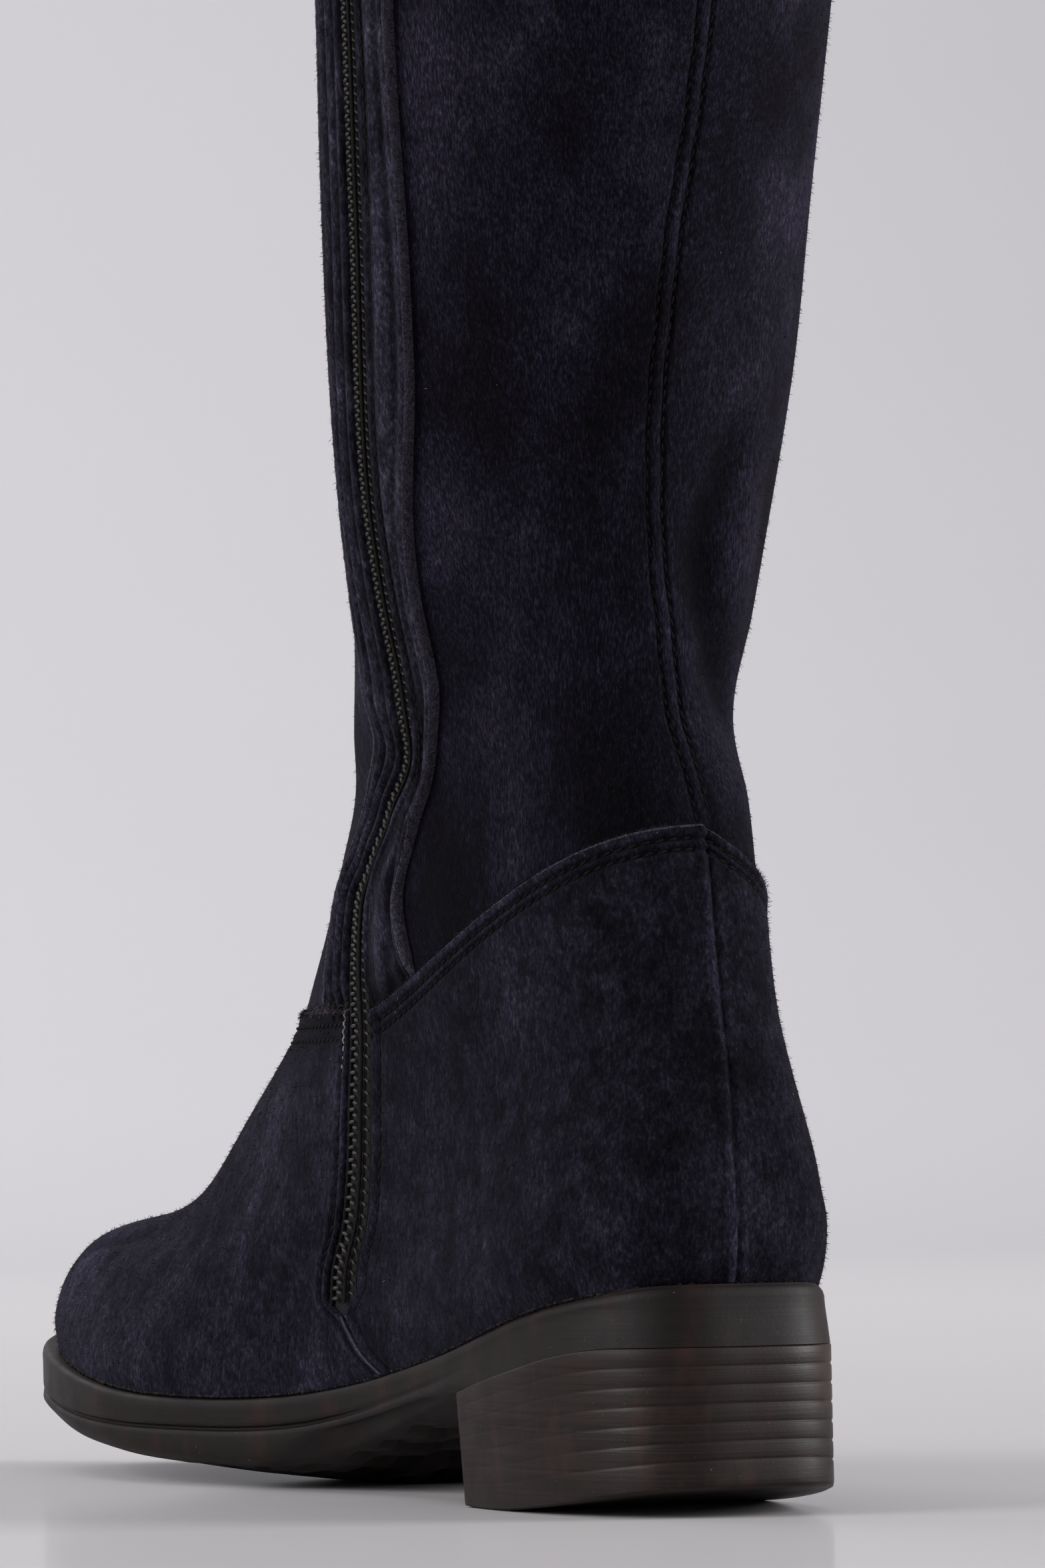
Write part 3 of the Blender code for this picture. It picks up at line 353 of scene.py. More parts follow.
class BootForm:
    """The boot's outer form as a fine grid of rings, read by level and place."""

    places: int = 360

    def __init__(self) -> None:
        """Work out the rings and their outward directions."""
        self.levels = np.concatenate((np.arange(42.0, 150.0, 1.0), np.arange(150.0, 535.1, 2.5)))
        self.grid = np.array([self.ring(level) for level in self.levels])
        wrapped = np.concatenate((self.grid[:, -1:], self.grid, self.grid[:, :1]), axis=1)
        around = wrapped[:, 2:] - wrapped[:, :-2]
        upward = np.gradient(self.grid, axis=0)
        normal = np.cross(upward, around)
        self.normals = normal / np.linalg.norm(normal, axis=2, keepdims=True)
        steps = np.linalg.norm(np.roll(self.grid, -1, axis=1) - self.grid, axis=2)
        self.girths = steps.sum(axis=1)

    def ring(self, level: float) -> np.ndarray:
        """One closed ring of points, back seam first, round by the inner side."""
        row = {name: float(curve(SECTIONS[:, 0], SECTIONS[:, k], np.array(level)))
               for k, name in enumerate(SECTION_NAMES)}
        outline = [row[n] for n in ("back_y", "front_y", "heel", "waist", "ball",
                                    "back_square", "front_square", "shift", "foot_line")]
        y, half, middle = half_outline(outline, np.linspace(0.0, np.pi, OUTLINE_POINTS))
        along = (y - row["back_y"]) / (row["front_y"] - row["back_y"])
        foot = SECTIONS[0]
        foot_line = foot[0] + (foot[3] - foot[0]) * (y - foot[1]) / (foot[2] - foot[1])
        line = row["level"] + (row["front_z"] - row["level"]) * along
        fade = 1.0 - smooth(FEATHER, DRAPE_END, np.array(level))
        z = line + fade * (sole_line(1, y) + FEATHER_GAP - foot_line)
        sides = []
        for sign in (-1.0, 1.0):
            side = np.column_stack((middle + sign * half, y, z))
            reach = travelled(side[:, 0], side[:, 1])
            wanted = np.linspace(0.0, reach[-1], self.places // 2 + 1)
            sides.append(np.column_stack([np.interp(wanted, reach, side[:, k])
                                          for k in range(3)]))
        return np.vstack((sides[0], sides[1][-2:0:-1]))

    def girth(self, level: np.ndarray) -> np.ndarray:
        """Length round the boot at a level."""
        return np.interp(level, self.levels, self.girths)

    def at(self, level: np.ndarray, place: np.ndarray, lift: float | np.ndarray
           ) -> np.ndarray:
        """Points on the creased skin.

        Args:
            level: height of each point at the back seam.
            place: share of the girth, 0 at the back seam, 0.25 inner side.
            lift: distance out from the shell's face.

        Returns:
            Points in working millimetres.
        """
        level, place, lift = np.broadcast_arrays(level, place, lift)
        low = np.clip(np.searchsorted(self.levels, level, side="right") - 1, 0,
                      len(self.levels) - 2)
        up = ((level - self.levels[low]) / (self.levels[low + 1] - self.levels[low]))[..., None]
        turn = (place % 1.0) * self.places
        first = turn.astype(int) % self.places
        across = (turn - np.floor(turn))[..., None]
        second = (first + 1) % self.places
        found = []
        for values in (self.grid, self.normals):
            under = values[low, first] * (1 - across) + values[low, second] * across
            over = values[low + 1, first] * (1 - across) + values[low + 1, second] * across
            found.append(under * (1 - up) + over * up)
        total = lift - SHELL_INSET - pressed_in(level, place)
        return found[0] + total[..., None] * found[1]


FORM = BootForm()


def opened(level: np.ndarray) -> np.ndarray:
    """How much wider the chain shows towards its foot, where the tapes lie open."""
    return 1.0 + 0.75 * (1.0 - smooth(88.0, 150.0, level))


def zip_place(level: np.ndarray, offset: float | np.ndarray) -> np.ndarray:
    """Place a distance in front of the zip's middle."""
    inside = np.clip(offset, -COIL_EDGE, COIL_EDGE)
    away = offset + inside * (opened(level) - 1.0)
    return eased(ZIP_START, ZIP_STEPS, level) + away / FORM.girth(level)


def seam_place(level: np.ndarray, offset: float) -> np.ndarray:
    """Place a distance in front of the quarter and vamp seam.

    Args:
        level: heights at the back seam, mm.
        offset: distance in front of the seam, mm.

    Returns:
        The places round the girth.
    """
    girth = FORM.girth(level)
    low, high = VAMP_SEAM_SLOPES
    level = np.clip(level, VAMP_SEAM_FOOT, VAMP_TOP)
    middle = (VAMP_SEAM_START + low * (np.minimum(level, VAMP_SEAM_BEND) - VAMP_SEAM_FOOT)
              + high * np.maximum(level - VAMP_SEAM_BEND, 0.0))
    return middle + offset / girth


def facing_edge(level: np.ndarray) -> np.ndarray:
    """Place of the rear facing's free edge."""
    return eased(FACING_EDGE_START, FACING_EDGE_STEPS, level)


def quarter_top(place: np.ndarray) -> np.ndarray:
    """Level of the heel quarter's top edge.

    Args:
        place: places round the girth, inner side positive.

    Returns:
        The edge's level at each place.
    """
    fall, reach = QUARTER_INNER
    inner = fall * smooth(0.0, reach, place)
    fall, reach = QUARTER_OUTER
    left = 1.0 - np.clip(-place / reach, 0.0, 1.0)
    return QUARTER_PEAK - inner - fall * (1.0 - left ** QUARTER_OUTER_POWER)


def back_seam(level: np.ndarray, offset: float) -> np.ndarray:
    """Place a distance towards the inner side from the back seam."""
    return eased(0.0, BACK_SEAM_STEPS, level) + offset / FORM.girth(level)


def meeting_edge(level: np.ndarray, past_seam: float, past_zip: float) -> np.ndarray:
    """Edge of the foot's leather on the inner side: along the seam, then along the zip.

    Args:
        level: heights at the back seam, mm.
        past_seam: distance in front of the quarter and vamp seam, mm.
        past_zip: distance in front of the zip's middle, mm.

    Returns:
        The places round the girth.
    """
    seam = seam_place(level, past_seam)
    turned = smooth(ZIP_FOOT - 4.0, ZIP_FOOT + 1.0, level)
    return seam + (zip_place(level, past_zip) - seam) * turned


def quarter_front(level: np.ndarray) -> np.ndarray:
    """Front edge of the heel quarter on the inner side."""
    return meeting_edge(level, -SEAM_GAP, -COIL_EDGE)


def vamp_rear(level: np.ndarray) -> np.ndarray:
    """Rear edge of the vamp on the inner side."""
    return meeting_edge(level, SEAM_GAP, COIL_EDGE)


def back_seam_relief(level: np.ndarray, place: np.ndarray) -> np.ndarray:
    """Stretch panel: two sunk stitch lines with a slightly raised welt between them."""
    away = wrapped(place - back_seam(level, 0.0)) * FORM.girth(level)
    wander = 0.15 * np.sin(level / 5.3) + 0.12 * np.sin(level / 2.1)
    return (ridges(away - wander, (-0.55, 1.5, 0.5), (-0.55, -1.5, 0.5))
            + ridges(away, (0.22, 0.0, 1.1)))


def top_edge_relief(below: np.ndarray) -> np.ndarray:
    """Lip of a stitched top edge and the two troughs its stitches pull down."""
    return ridges(below, (0.30, 1.1, 0.9), (0.12, 3.65, 0.5),
                  *((-0.5, row, 0.6) for row in TOP_STITCHES))


def quarter_relief(level: np.ndarray, place: np.ndarray) -> np.ndarray:
    """Heel quarter: closed centre-back seam, stitched top edge and the edge beside the zip."""
    turned = wrapped(place)
    girth = FORM.girth(level)
    away = (turned - curve(CENTRE_SEAM_LEVELS, CENTRE_SEAM_PLACES, level)) * girth
    beside = (quarter_front(level) - turned) * girth
    return (ridges(away, (-0.28, 0.0, 0.36), (0.60, 1.3, 1.0), (0.18, -1.5, 0.95))
            + ridges(beside, (0.25, 0.9, 0.9), (-0.35, 3.4, 0.7))
            + top_edge_relief(quarter_top(turned) - level))


def vamp_relief(level: np.ndarray, place: np.ndarray) -> np.ndarray:
    """Vamp: ridge and stitch line beside the zip, and the stitched top edge."""
    beside = (place - vamp_rear(level)) * FORM.girth(level)
    below = VAMP_TOP - level
    past_zip = smooth(0.300, 0.330, place)
    skived = -0.75 * (1.0 - smooth(0.0, 14.0, below))
    return (ridges(beside, (0.30, 0.9, 0.8), (-0.45, 2.5, 0.6), (0.22, 4.0, 0.8))
            + (skived + 0.45 * top_edge_relief(below)) * past_zip)


def rear_facing_relief(level: np.ndarray, place: np.ndarray) -> np.ndarray:
    """Rear facing: a low strip beside the zip, a folded step, and a rounded proud edge."""
    girth = FORM.girth(level)
    beside = (zip_place(level, -COIL_EDGE) - place) * girth
    inside = (place - facing_edge(level)) * girth
    low = 1.0 - smooth(135.0, 165.0, level)
    fold = 0.75 * smooth(3.2, 4.4, beside) - 0.25 * smooth(5.5, 9.0, beside)
    wave = 0.18 * np.sin(level / 17.0 + beside / 3.0) + 0.35 * low * np.sin(beside / 1.1 + 0.6)
    tuck = -1.5 * (1.0 - smooth(-1.0, 4.5, level - quarter_top(place)))
    return (fold * (1 - 0.6 * low) + wave + tuck + ridges(beside, (-0.45, 2.1, 0.5))
            + ridges(inside, (0.40, 1.0, 0.9), (-0.55, 3.0, 0.9)))


def front_facing_relief(level: np.ndarray, place: np.ndarray) -> np.ndarray:
    """Front facing: soft folds that run beside the zip."""
    beside = (place - zip_place(level, COIL_EDGE)) * FORM.girth(level)
    drift = 0.6 * np.sin(level / 23.0)
    deeper = 1.0 + 0.7 * (1.0 - smooth(120.0, 160.0, level))
    folds = (ridges(beside, (0.30, 1.0, 0.9), (-0.50, 2.6, 0.6), (0.45, 9.3, 1.1))
             + ridges(beside - drift, (0.65, 4.9, 1.2), (-0.50, 7.2, 0.9)))
    return folds * deeper - 1.3 * (1.0 - smooth(-1.0, 4.0, level - VAMP_TOP))


def to_metres(points: np.ndarray) -> np.ndarray:
    """Working millimetres to the frame's metres."""
    moved = np.array(points, float)
    moved[..., 1] -= HEEL_CENTRE
    return moved * MM


# ---------------------------------------------------------------- materials


def tone(value: str | float) -> Colour:
    """Linear colour of an sRGB hex value, or a neutral of one linear value.

    Args:
        value: six hex digits, or the neutral's value.

    Returns:
        Red, green, blue and alpha.
    """
    if isinstance(value, float):
        return (value, value, value, 1.0)
    parts = [int(value[k:k + 2], 16) / 255 for k in (0, 2, 4)]
    linear = [p / 12.92 if p <= 0.04045 else ((p + 0.055) / 1.055) ** 2.4 for p in parts]
    return (linear[0], linear[1], linear[2], 1.0)


def add_node(tree: Tree, kind: str, inputs: dict | None = None,
             **settings: object) -> bpy.types.Node:
    """Add a node with its settings and links.

    Args:
        tree: the material's node tree.
        kind: the node's type name without its ShaderNode prefix.
        inputs: socket name or number to a value or to another node's output.
        settings: attributes of the node.

    Returns:
        The new node.
    """
    node = tree.nodes.new("ShaderNode" + kind)
    for name, value in settings.items():
        setattr(node, name, value)
    for key, value in (inputs or {}).items():
        if isinstance(value, Socket):
            tree.links.new(value, node.inputs[key])
        else:
            node.inputs[key].default_value = value
    return node


def new_tree(name: str) -> tuple[bpy.types.Material, Tree, bpy.types.Node]:
    """Empty material with its tree and shader."""
    material = bpy.data.materials.new(name)
    material.use_nodes = True
    tree = material.node_tree
    return material, tree, tree.nodes["Principled BSDF"]


def ramp(tree: Tree, factor: Socket, *stops: tuple[float, str | float]) -> Socket:
    """Colour ramp.

    Args:
        tree: the material's node tree.
        factor: what the ramp is read by.
        stops: position and tone of each stop, in order.

    Returns:
        The ramp's colour.
    """
    node = add_node(tree, "ValToRGB", {"Fac": factor})
    elements = node.color_ramp.elements
    while len(elements) < len(stops):
        elements.new(0.5)
    for element, (position, value) in zip(elements, stops):
        element.position = position
        element.color = tone(value)
    return node.outputs["Color"]


def noise(tree: Tree, size_mm: float | Sequence[float], detail: float = 3.0,
          roughness: float = 0.55, turn: Sequence[float] = (0.0, 0.0, 0.0)
          ) -> Socket:
    """Noise on object coordinates.

    Args:
        tree: the material's node tree.
        size_mm: size of the grain, one number or one for each axis.
        detail: layers of finer grain.
        roughness: strength of the finer grain.
        turn: rotation of the grain.

    Returns:
        The noise's value.
    """
    sizes = (size_mm,) * 3 if isinstance(size_mm, (int, float)) else size_mm
    coords = add_node(tree, "TexCoord")
    mapping = add_node(tree, "Mapping", {"Vector": coords.outputs["Object"],
                                         "Scale": tuple(1.0 / (s * MM) for s in sizes),
                                         "Rotation": tuple(turn)})
    node = add_node(tree, "TexNoise", {"Vector": mapping.outputs["Vector"], "Scale": 1.0,
                                       "Detail": detail, "Roughness": roughness})
    return node.outputs["Fac"]


def mix(tree: Tree, factor: Socket | float, low: Socket | str, high: Socket | str,
        blend: str = "MIX") -> Socket:
    """Mix two colours.

    Args:
        tree: the material's node tree.
        factor: share of the second colour.
        low: first colour, a socket or hex digits.
        high: second colour.
        blend: how they are mixed.

    Returns:
        The mixed colour.
    """
    colours = [value if isinstance(value, Socket) else tone(value) for value in (low, high)]
    node = add_node(tree, "Mix", {0: factor, 6: colours[0], 7: colours[1]}, data_type="RGBA",
                    blend_type=blend)
    return node.outputs[2]


def multiply(tree: Tree, first: Socket, *others: Socket) -> Socket:
    """Product of several colours."""
    for other in others:
        first = mix(tree, 1.0, first, other, "MULTIPLY")
    return first


def heights(tree: Tree, *parts: tuple[Socket, float]) -> Socket:
    """Sum of two heights, each with its share."""
    shares = [add_node(tree, "Math", {0: height, 1: share}, operation="MULTIPLY").outputs[0]
              for height, share in parts]
    return add_node(tree, "Math", {0: shares[0], 1: shares[1]}, operation="ADD").outputs[0]


def paint_relief_light(tree: Tree, colour: Socket) -> Socket:
    """Painted shade in the troughs and creases and a painted highlight on the ridges (with a
    little rubbed nap), read from the piece's stored relief heights.
    """
    height = add_node(tree, "Attribute", attribute_name=RELIEF_LIGHT).outputs["Fac"]
    share = add_node(tree, "MapRange", {"Value": height, "From Min": -0.6, "From Max": 0.6})
    return multiply(tree, colour, ramp(tree, share.outputs["Result"], (0.0, 0.30), (0.5, 1.0),
                                       (1.0, 2.1)))


def dress(tree: Tree, shader: bpy.types.Node, colour: Socket, height: Socket, bump: Pair,
          settings: dict[str, object]) -> None:
    """Give a shader its colour, its relief and its plain values.

    Args:
        tree: the material's node tree.
        shader: the Principled BSDF.
        colour: its base colour.
        height: its relief.
        bump: the relief's strength and depth, in metres.
        settings: socket names and values.
    """
    relief = add_node(tree, "Bump", {"Height": height, "Strength": bump[0],
                                     "Distance": bump[1]})
    tree.links.new(colour, shader.inputs["Base Color"])
    tree.links.new(relief.outputs["Normal"], shader.inputs["Normal"])
    for name, value in settings.items():
        shader.inputs[name].default_value = value


@dataclass(frozen=True)
class SuedeFinish:
    """Suede split leather: the nap is brushed both ways, so it shows soft light patches."""

    name: str
    deep: str
    mid: str
    light: str
    patch_mm: float = 26.0
    sheen: float = 0.05
    nap_mm: float = 0.55

    def build(self) -> bpy.types.Material:
        """Make the material."""
        material, tree, shader = new_tree(self.name)
        patches = noise(tree, (self.patch_mm, self.patch_mm, self.patch_mm * 1.3), 4.0, 0.6)
        clouds = noise(tree, 6.5, 3.0, 0.6)
        nap = noise(tree, (self.nap_mm, self.nap_mm, self.nap_mm * 2.2), 3.0, 0.7,
                    (0.3, 0.2, 0.0))
        base = ramp(tree, patches, (0.36, self.deep), (0.54, self.mid), (0.70, self.light))
        cloudy = mix(tree, ramp(tree, clouds, (0.40, 0.0), (0.72, 0.55)), base, self.light)
        speckle = ramp(tree, nap, (0.28, 0.30), (0.50, 0.85), (0.74, 2.6))
        tufts = ramp(tree, noise(tree, (1.3, 1.3, 2.6), 2.0, 0.6, (0.5, 0.3, 0.0)),
                     (0.34, 0.62), (0.66, 1.42))
        dress(tree, shader, paint_relief_light(tree, multiply(tree, cloudy, speckle, tufts)),
              heights(tree, (nap, 0.7), (clouds, 0.6)), (0.55, 0.0004),
              {"Roughness": 1.0, "Specular IOR Level": 0.05, "Sheen Weight": self.sheen,
               "Sheen Roughness": 0.55, "Sheen Tint": tone("8E8AA6")})
        return material


@dataclass(frozen=True)
class MicrovelourFinish:
    """Stretch microvelour: a knitted short pile, darker than suede, its hairs lying down."""

    name: str = "stretch_microvelour_knit"
    deep: str = "0A080D"
    mid: str = "13111A"
    light: str = "221F2C"

    def build(self) -> bpy.types.Material:
        """Make the material."""
        material, tree, shader = new_tree(self.name)
        patches = noise(tree, (30.0, 30.0, 44.0), 3.0, 0.55)
        streaks = noise(tree, (0.9, 0.9, 3.2), 4.0, 0.65, (0.35, -0.25, 0.0))
        pile = noise(tree, (0.34, 0.34, 1.5), 3.0, 0.7, (0.15, 0.12, 0.0))
        base = ramp(tree, patches, (0.38, self.deep), (0.52, self.mid), (0.68, self.light))
        speckle = ramp(tree, pile, (0.30, 0.22), (0.50, 0.80), (0.72, 3.2))
        streaky = ramp(tree, streaks, (0.35, 0.62), (0.65, 1.38))
        # Darker towards the bottom: 0.55 of the tone at 135 mm up, the full tone from 215 mm up.
        split = add_node(tree, "SeparateXYZ",
                         {"Vector": add_node(tree, "TexCoord").outputs["Object"]})
        rise = add_node(tree, "MapRange", {"Value": split.outputs["Z"], "From Min": 0.135,
                                           "From Max": 0.215})
        darker_low = ramp(tree, rise.outputs["Result"], (0.0, 0.55), (1.0, 1.0))
        dress(tree, shader, paint_relief_light(tree, multiply(tree, base, speckle, streaky, darker_low)),
              heights(tree, (pile, 0.6), (streaks, 0.5)), (0.5, 0.0003),
              {"Roughness": 0.95, "Specular IOR Level": 0.05, "Sheen Weight": 0.035,
               "Sheen Roughness": 0.5, "Sheen Tint": tone("8B86A8")})
        return material


@dataclass(frozen=True)
class CutEdgeFinish:
    """Raw cut edge of suede: paler grey-brown fibres standing out of the cut."""

    name: str = "suede_raw_cut_edge"

    def build(self) -> bpy.types.Material:
        """Make the material."""
        material, tree, shader = new_tree(self.name)
        fibres = noise(tree, (0.30, 0.30, 0.9), 4.0, 0.75, (0.5, 0.4, 0.0))
        patches = noise(tree, 5.0, 2.0)
        base = ramp(tree, fibres, (0.30, "24222A"), (0.50, "413E49"), (0.74, "6E6A78"))
        warm = mix(tree, ramp(tree, patches, (0.40, 0.0), (0.65, 0.45)), base, "453E46")
        dress(tree, shader, warm, fibres, (0.9, 0.0004),
              {"Roughness": 1.0, "Specular IOR Level": 0.10})
        return material


@dataclass(frozen=True)
class RubberFinish:
    """Moulded TPR rubber, dark brown-black, buffed so that fine lines run round it."""

    name: str
    deep: str
    light: str
    line_mm: float
    roughness: float
    rust: str

    def build(self) -> bpy.types.Material:
        """Make the material."""
        material, tree, shader = new_tree(self.name)
        lines = noise(tree, (60.0, 60.0, self.line_mm), 4.0, 0.65)
        clouds = noise(tree, 14.0, 3.0)
        grain = noise(tree, 0.7, 3.0, 0.6)
        base = ramp(tree, lines, (0.32, self.deep), (0.68, self.light))
        colour = mix(tree, ramp(tree, clouds, (0.35, 0.0), (0.75, 0.6)), base, self.deep)
        rusty = noise(tree, (9.0, 9.0, 16.0), 3.0, 0.6, (0.0, 0.3, 0.4))
        colour = mix(tree, ramp(tree, rusty, (0.50, 0.0), (0.72, 0.6)), colour, self.rust)
        specks = noise(tree, 0.55, 2.0, 0.5)
        dusty = mix(tree, ramp(tree, specks, (0.735, 0.0), (0.80, 0.55)), colour, "8C8580")
        buffed = ramp(tree, clouds, (0.3, self.roughness - 0.06), (0.7, self.roughness + 0.10))
        tree.links.new(buffed, shader.inputs["Roughness"])
        dress(tree, shader, dusty, heights(tree, (lines, 0.5), (grain, 0.35)), (0.35, 0.00025),
              {"IOR": 1.5, "Specular IOR Level": 0.18})
        return material


@dataclass(frozen=True)
class PlainFinish:
    """Small parts and linings: one colour with a fine grain in colour and relief."""

    name: str
    colour: str
    accent: str
    grain_mm: float
    roughness: float
    metallic: float = 0.0
    relief: float = 0.0001
    specular: float = 0.3

    def build(self) -> bpy.types.Material:
        """Make the material."""
        material, tree, shader = new_tree(self.name)
        grain = noise(tree, self.grain_mm, 3.0)
        base = ramp(tree, grain, (0.35, self.colour), (0.68, self.accent))
        settings = {"Roughness": self.roughness, "Metallic": self.metallic}
        if not self.metallic:
            settings["Specular IOR Level"] = self.specular
        dress(tree, shader, base, grain, (0.5, self.relief), settings)
        return material


class Finish(Enum):
    """Every finish of the boot."""

    SUEDE_VAMP = SuedeFinish("suede_split_leather_vamp", "0A090E", "13121A", "24232E")
    SUEDE_QUARTER = SuedeFinish("suede_split_leather_quarter", "09080C", "100F16", "201F29")
    SUEDE_FACING = SuedeFinish("suede_split_leather_facing", "0B0A0F", "121117", "22212A", 12.0)
    SUEDE_SHAFT = SuedeFinish("suede_split_leather_shaft", "0B0A0F", "121118", "201F29", 34.0)
    STRETCH = MicrovelourFinish()
    CUT_EDGE = CutEdgeFinish()
    SOLE = RubberFinish("tpr_rubber_sole_moulded", "0A0605", "150E0C", 0.7, 0.55, "281611")
    HEEL = RubberFinish("tpr_rubber_heel_stacked_look", "100B0A", "271B18", 0.5, 0.46, "33221E")
    LINING = PlainFinish("textile_lining_napped", "2B2627", "3D3736", 0.6, 0.95)
    SOCK = PlainFinish("leatherboard_sock", "5A4A3E", "6E5C4D", 1.2, 0.8)
    TAPE = PlainFinish("polyester_zip_tape_woven", "060607", "101010", 0.5, 0.85, 0.0, 0.0002)
    COIL = PlainFinish("nylon_coil_black", "1A1816", "302C29", 0.8, 0.5, 0.0, 0.00005, 0.3)
    THREAD = PlainFinish("polyester_thread_dark", "09080A", "1A1715", 0.3, 0.9, 0.0, 0.0001, 0.1)
    GLUE_EDGE = PlainFinish("suede_feather_edge_brown", "131011", "2C2523", 1.6, 1.0, 0.0, 0.0003)
    PALE_THREAD = PlainFinish("nylon_thread_pale", "6E6861", "A09A92", 0.4, 0.6)
    FIBRE = PlainFinish("suede_loose_fibre", "100F15", "2C2B36", 3.0, 1.0, 0.0, 0.0001, 0.05)
    FRAY = PlainFinish("suede_frayed_cut_fibre", "2B282B", "5C5558", 1.0, 1.0, 0.0, 0.0001, 0.05)
    LINT = PlainFinish("lint_pale", "7C7A7E", "A5A3A6", 1.0, 0.9)
    METAL = PlainFinish("zinc_dark_plated", "1F1E1C", "2E2C29", 1.5, 0.36, 1.0, 0.00003)


class Palette:
    """Materials made once and shared."""

    def __init__(self) -> None:
        """Start with nothing made."""
        self.made: dict[Finish, bpy.types.Material] = {}

    def get(self, finish: Finish) -> bpy.types.Material:
        """The material of a finish."""
        if finish not in self.made:
            self.made[finish] = finish.value.build()
        return self.made[finish]


PALETTE = Palette()


# ---------------------------------------------------------------- mesh helpers


def put(name: str, data: bpy.types.ID) -> bpy.types.Object:
    """New object in the scene's own collection."""
    made = bpy.data.objects.new(name, data)
    bpy.context.scene.collection.objects.link(made)
    return made


def mesh_from(name: str, bm: bmesh.types.BMesh) -> bpy.types.Mesh:
    """Smooth mesh of a bmesh, which is freed."""
    mesh = bpy.data.meshes.new(name)
    bm.to_mesh(mesh)
    bm.free()
    mesh.shade_smooth()
    return mesh


def add_piece(name: str, mesh: bpy.types.Mesh, finishes: Sequence[Finish],
              nodes: Sequence[str] = ()) -> bpy.types.Object:
    """Put a mesh on the boot as a dressed piece.

    Args:
        name: the piece's name.
        mesh: its mesh, in metres.
        finishes: its material slots in order.
        nodes: the CAD nodes that it replaces.

    Returns:
        The new object.
    """
    for finish in finishes:
        mesh.materials.append(PALETTE.get(finish))
    piece = put(name, mesh)
    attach(piece, "boot")
    if nodes:
        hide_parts(*nodes)
    LOG.info("%s: %d faces", name, len(mesh.polygons))
    return piece


def grid_mesh(across: int, up: int) -> tuple[bmesh.types.BMesh, np.ndarray, np.ndarray]:
    """A flat grid and the whole-number place of each of its points.

    Args:
        across: faces across.
        up: faces up.

    Returns:
        The bmesh and each point's column and row.
    """
    bm = bmesh.new()
    bmesh.ops.create_grid(bm, x_segments=across, y_segments=up, size=0.5)
    co = np.array([v.co[:2] for v in bm.verts]) + 0.5
    return bm, np.rint(co[:, 0] * across).astype(int), np.rint(co[:, 1] * up).astype(int)


def place_points(bm: bmesh.types.BMesh, points: np.ndarray) -> None:
    """Move every point of a bmesh to working-millimetre places."""
    for vertex, point in zip(bm.verts, to_metres(points)):
        vertex.co = point


def add_skin(name: str, bm: bmesh.types.BMesh, points: np.ndarray, finish: Finish,
             merge: float, nodes: Sequence[str] = ()) -> None:
    """Make a piece of a grid wound into a skin, its seams merged.

    Args:
        name: the piece's name.
        bm: the grid.
        points: where its points go, in working millimetres.
        finish: its finish.
        merge: points closer than this become one, in metres.
        nodes: the CAD nodes that it replaces.
    """
    place_points(bm, points)
    bmesh.ops.remove_doubles(bm, verts=bm.verts, dist=merge)
    bmesh.ops.recalc_face_normals(bm, faces=bm.faces)
    add_piece(name, mesh_from(name, bm), (finish,), nodes)


# Merging distances: for threads, for large skins, and for the sole, heel and sock.
MERGE_THREAD = 1e-7
MERGE_SKIN = 1e-6
MERGE_SOLE = 2e-6
# How far each line of a panel's skirt is let down, and how far in it stands, mm.
SKIRT_DROP = np.array((1.0, 0.62, 0.28, 0.06))
SKIRT_IN = np.array((0.0, 0.0, 0.08, 0.32))
SKIRT_END = 0.55


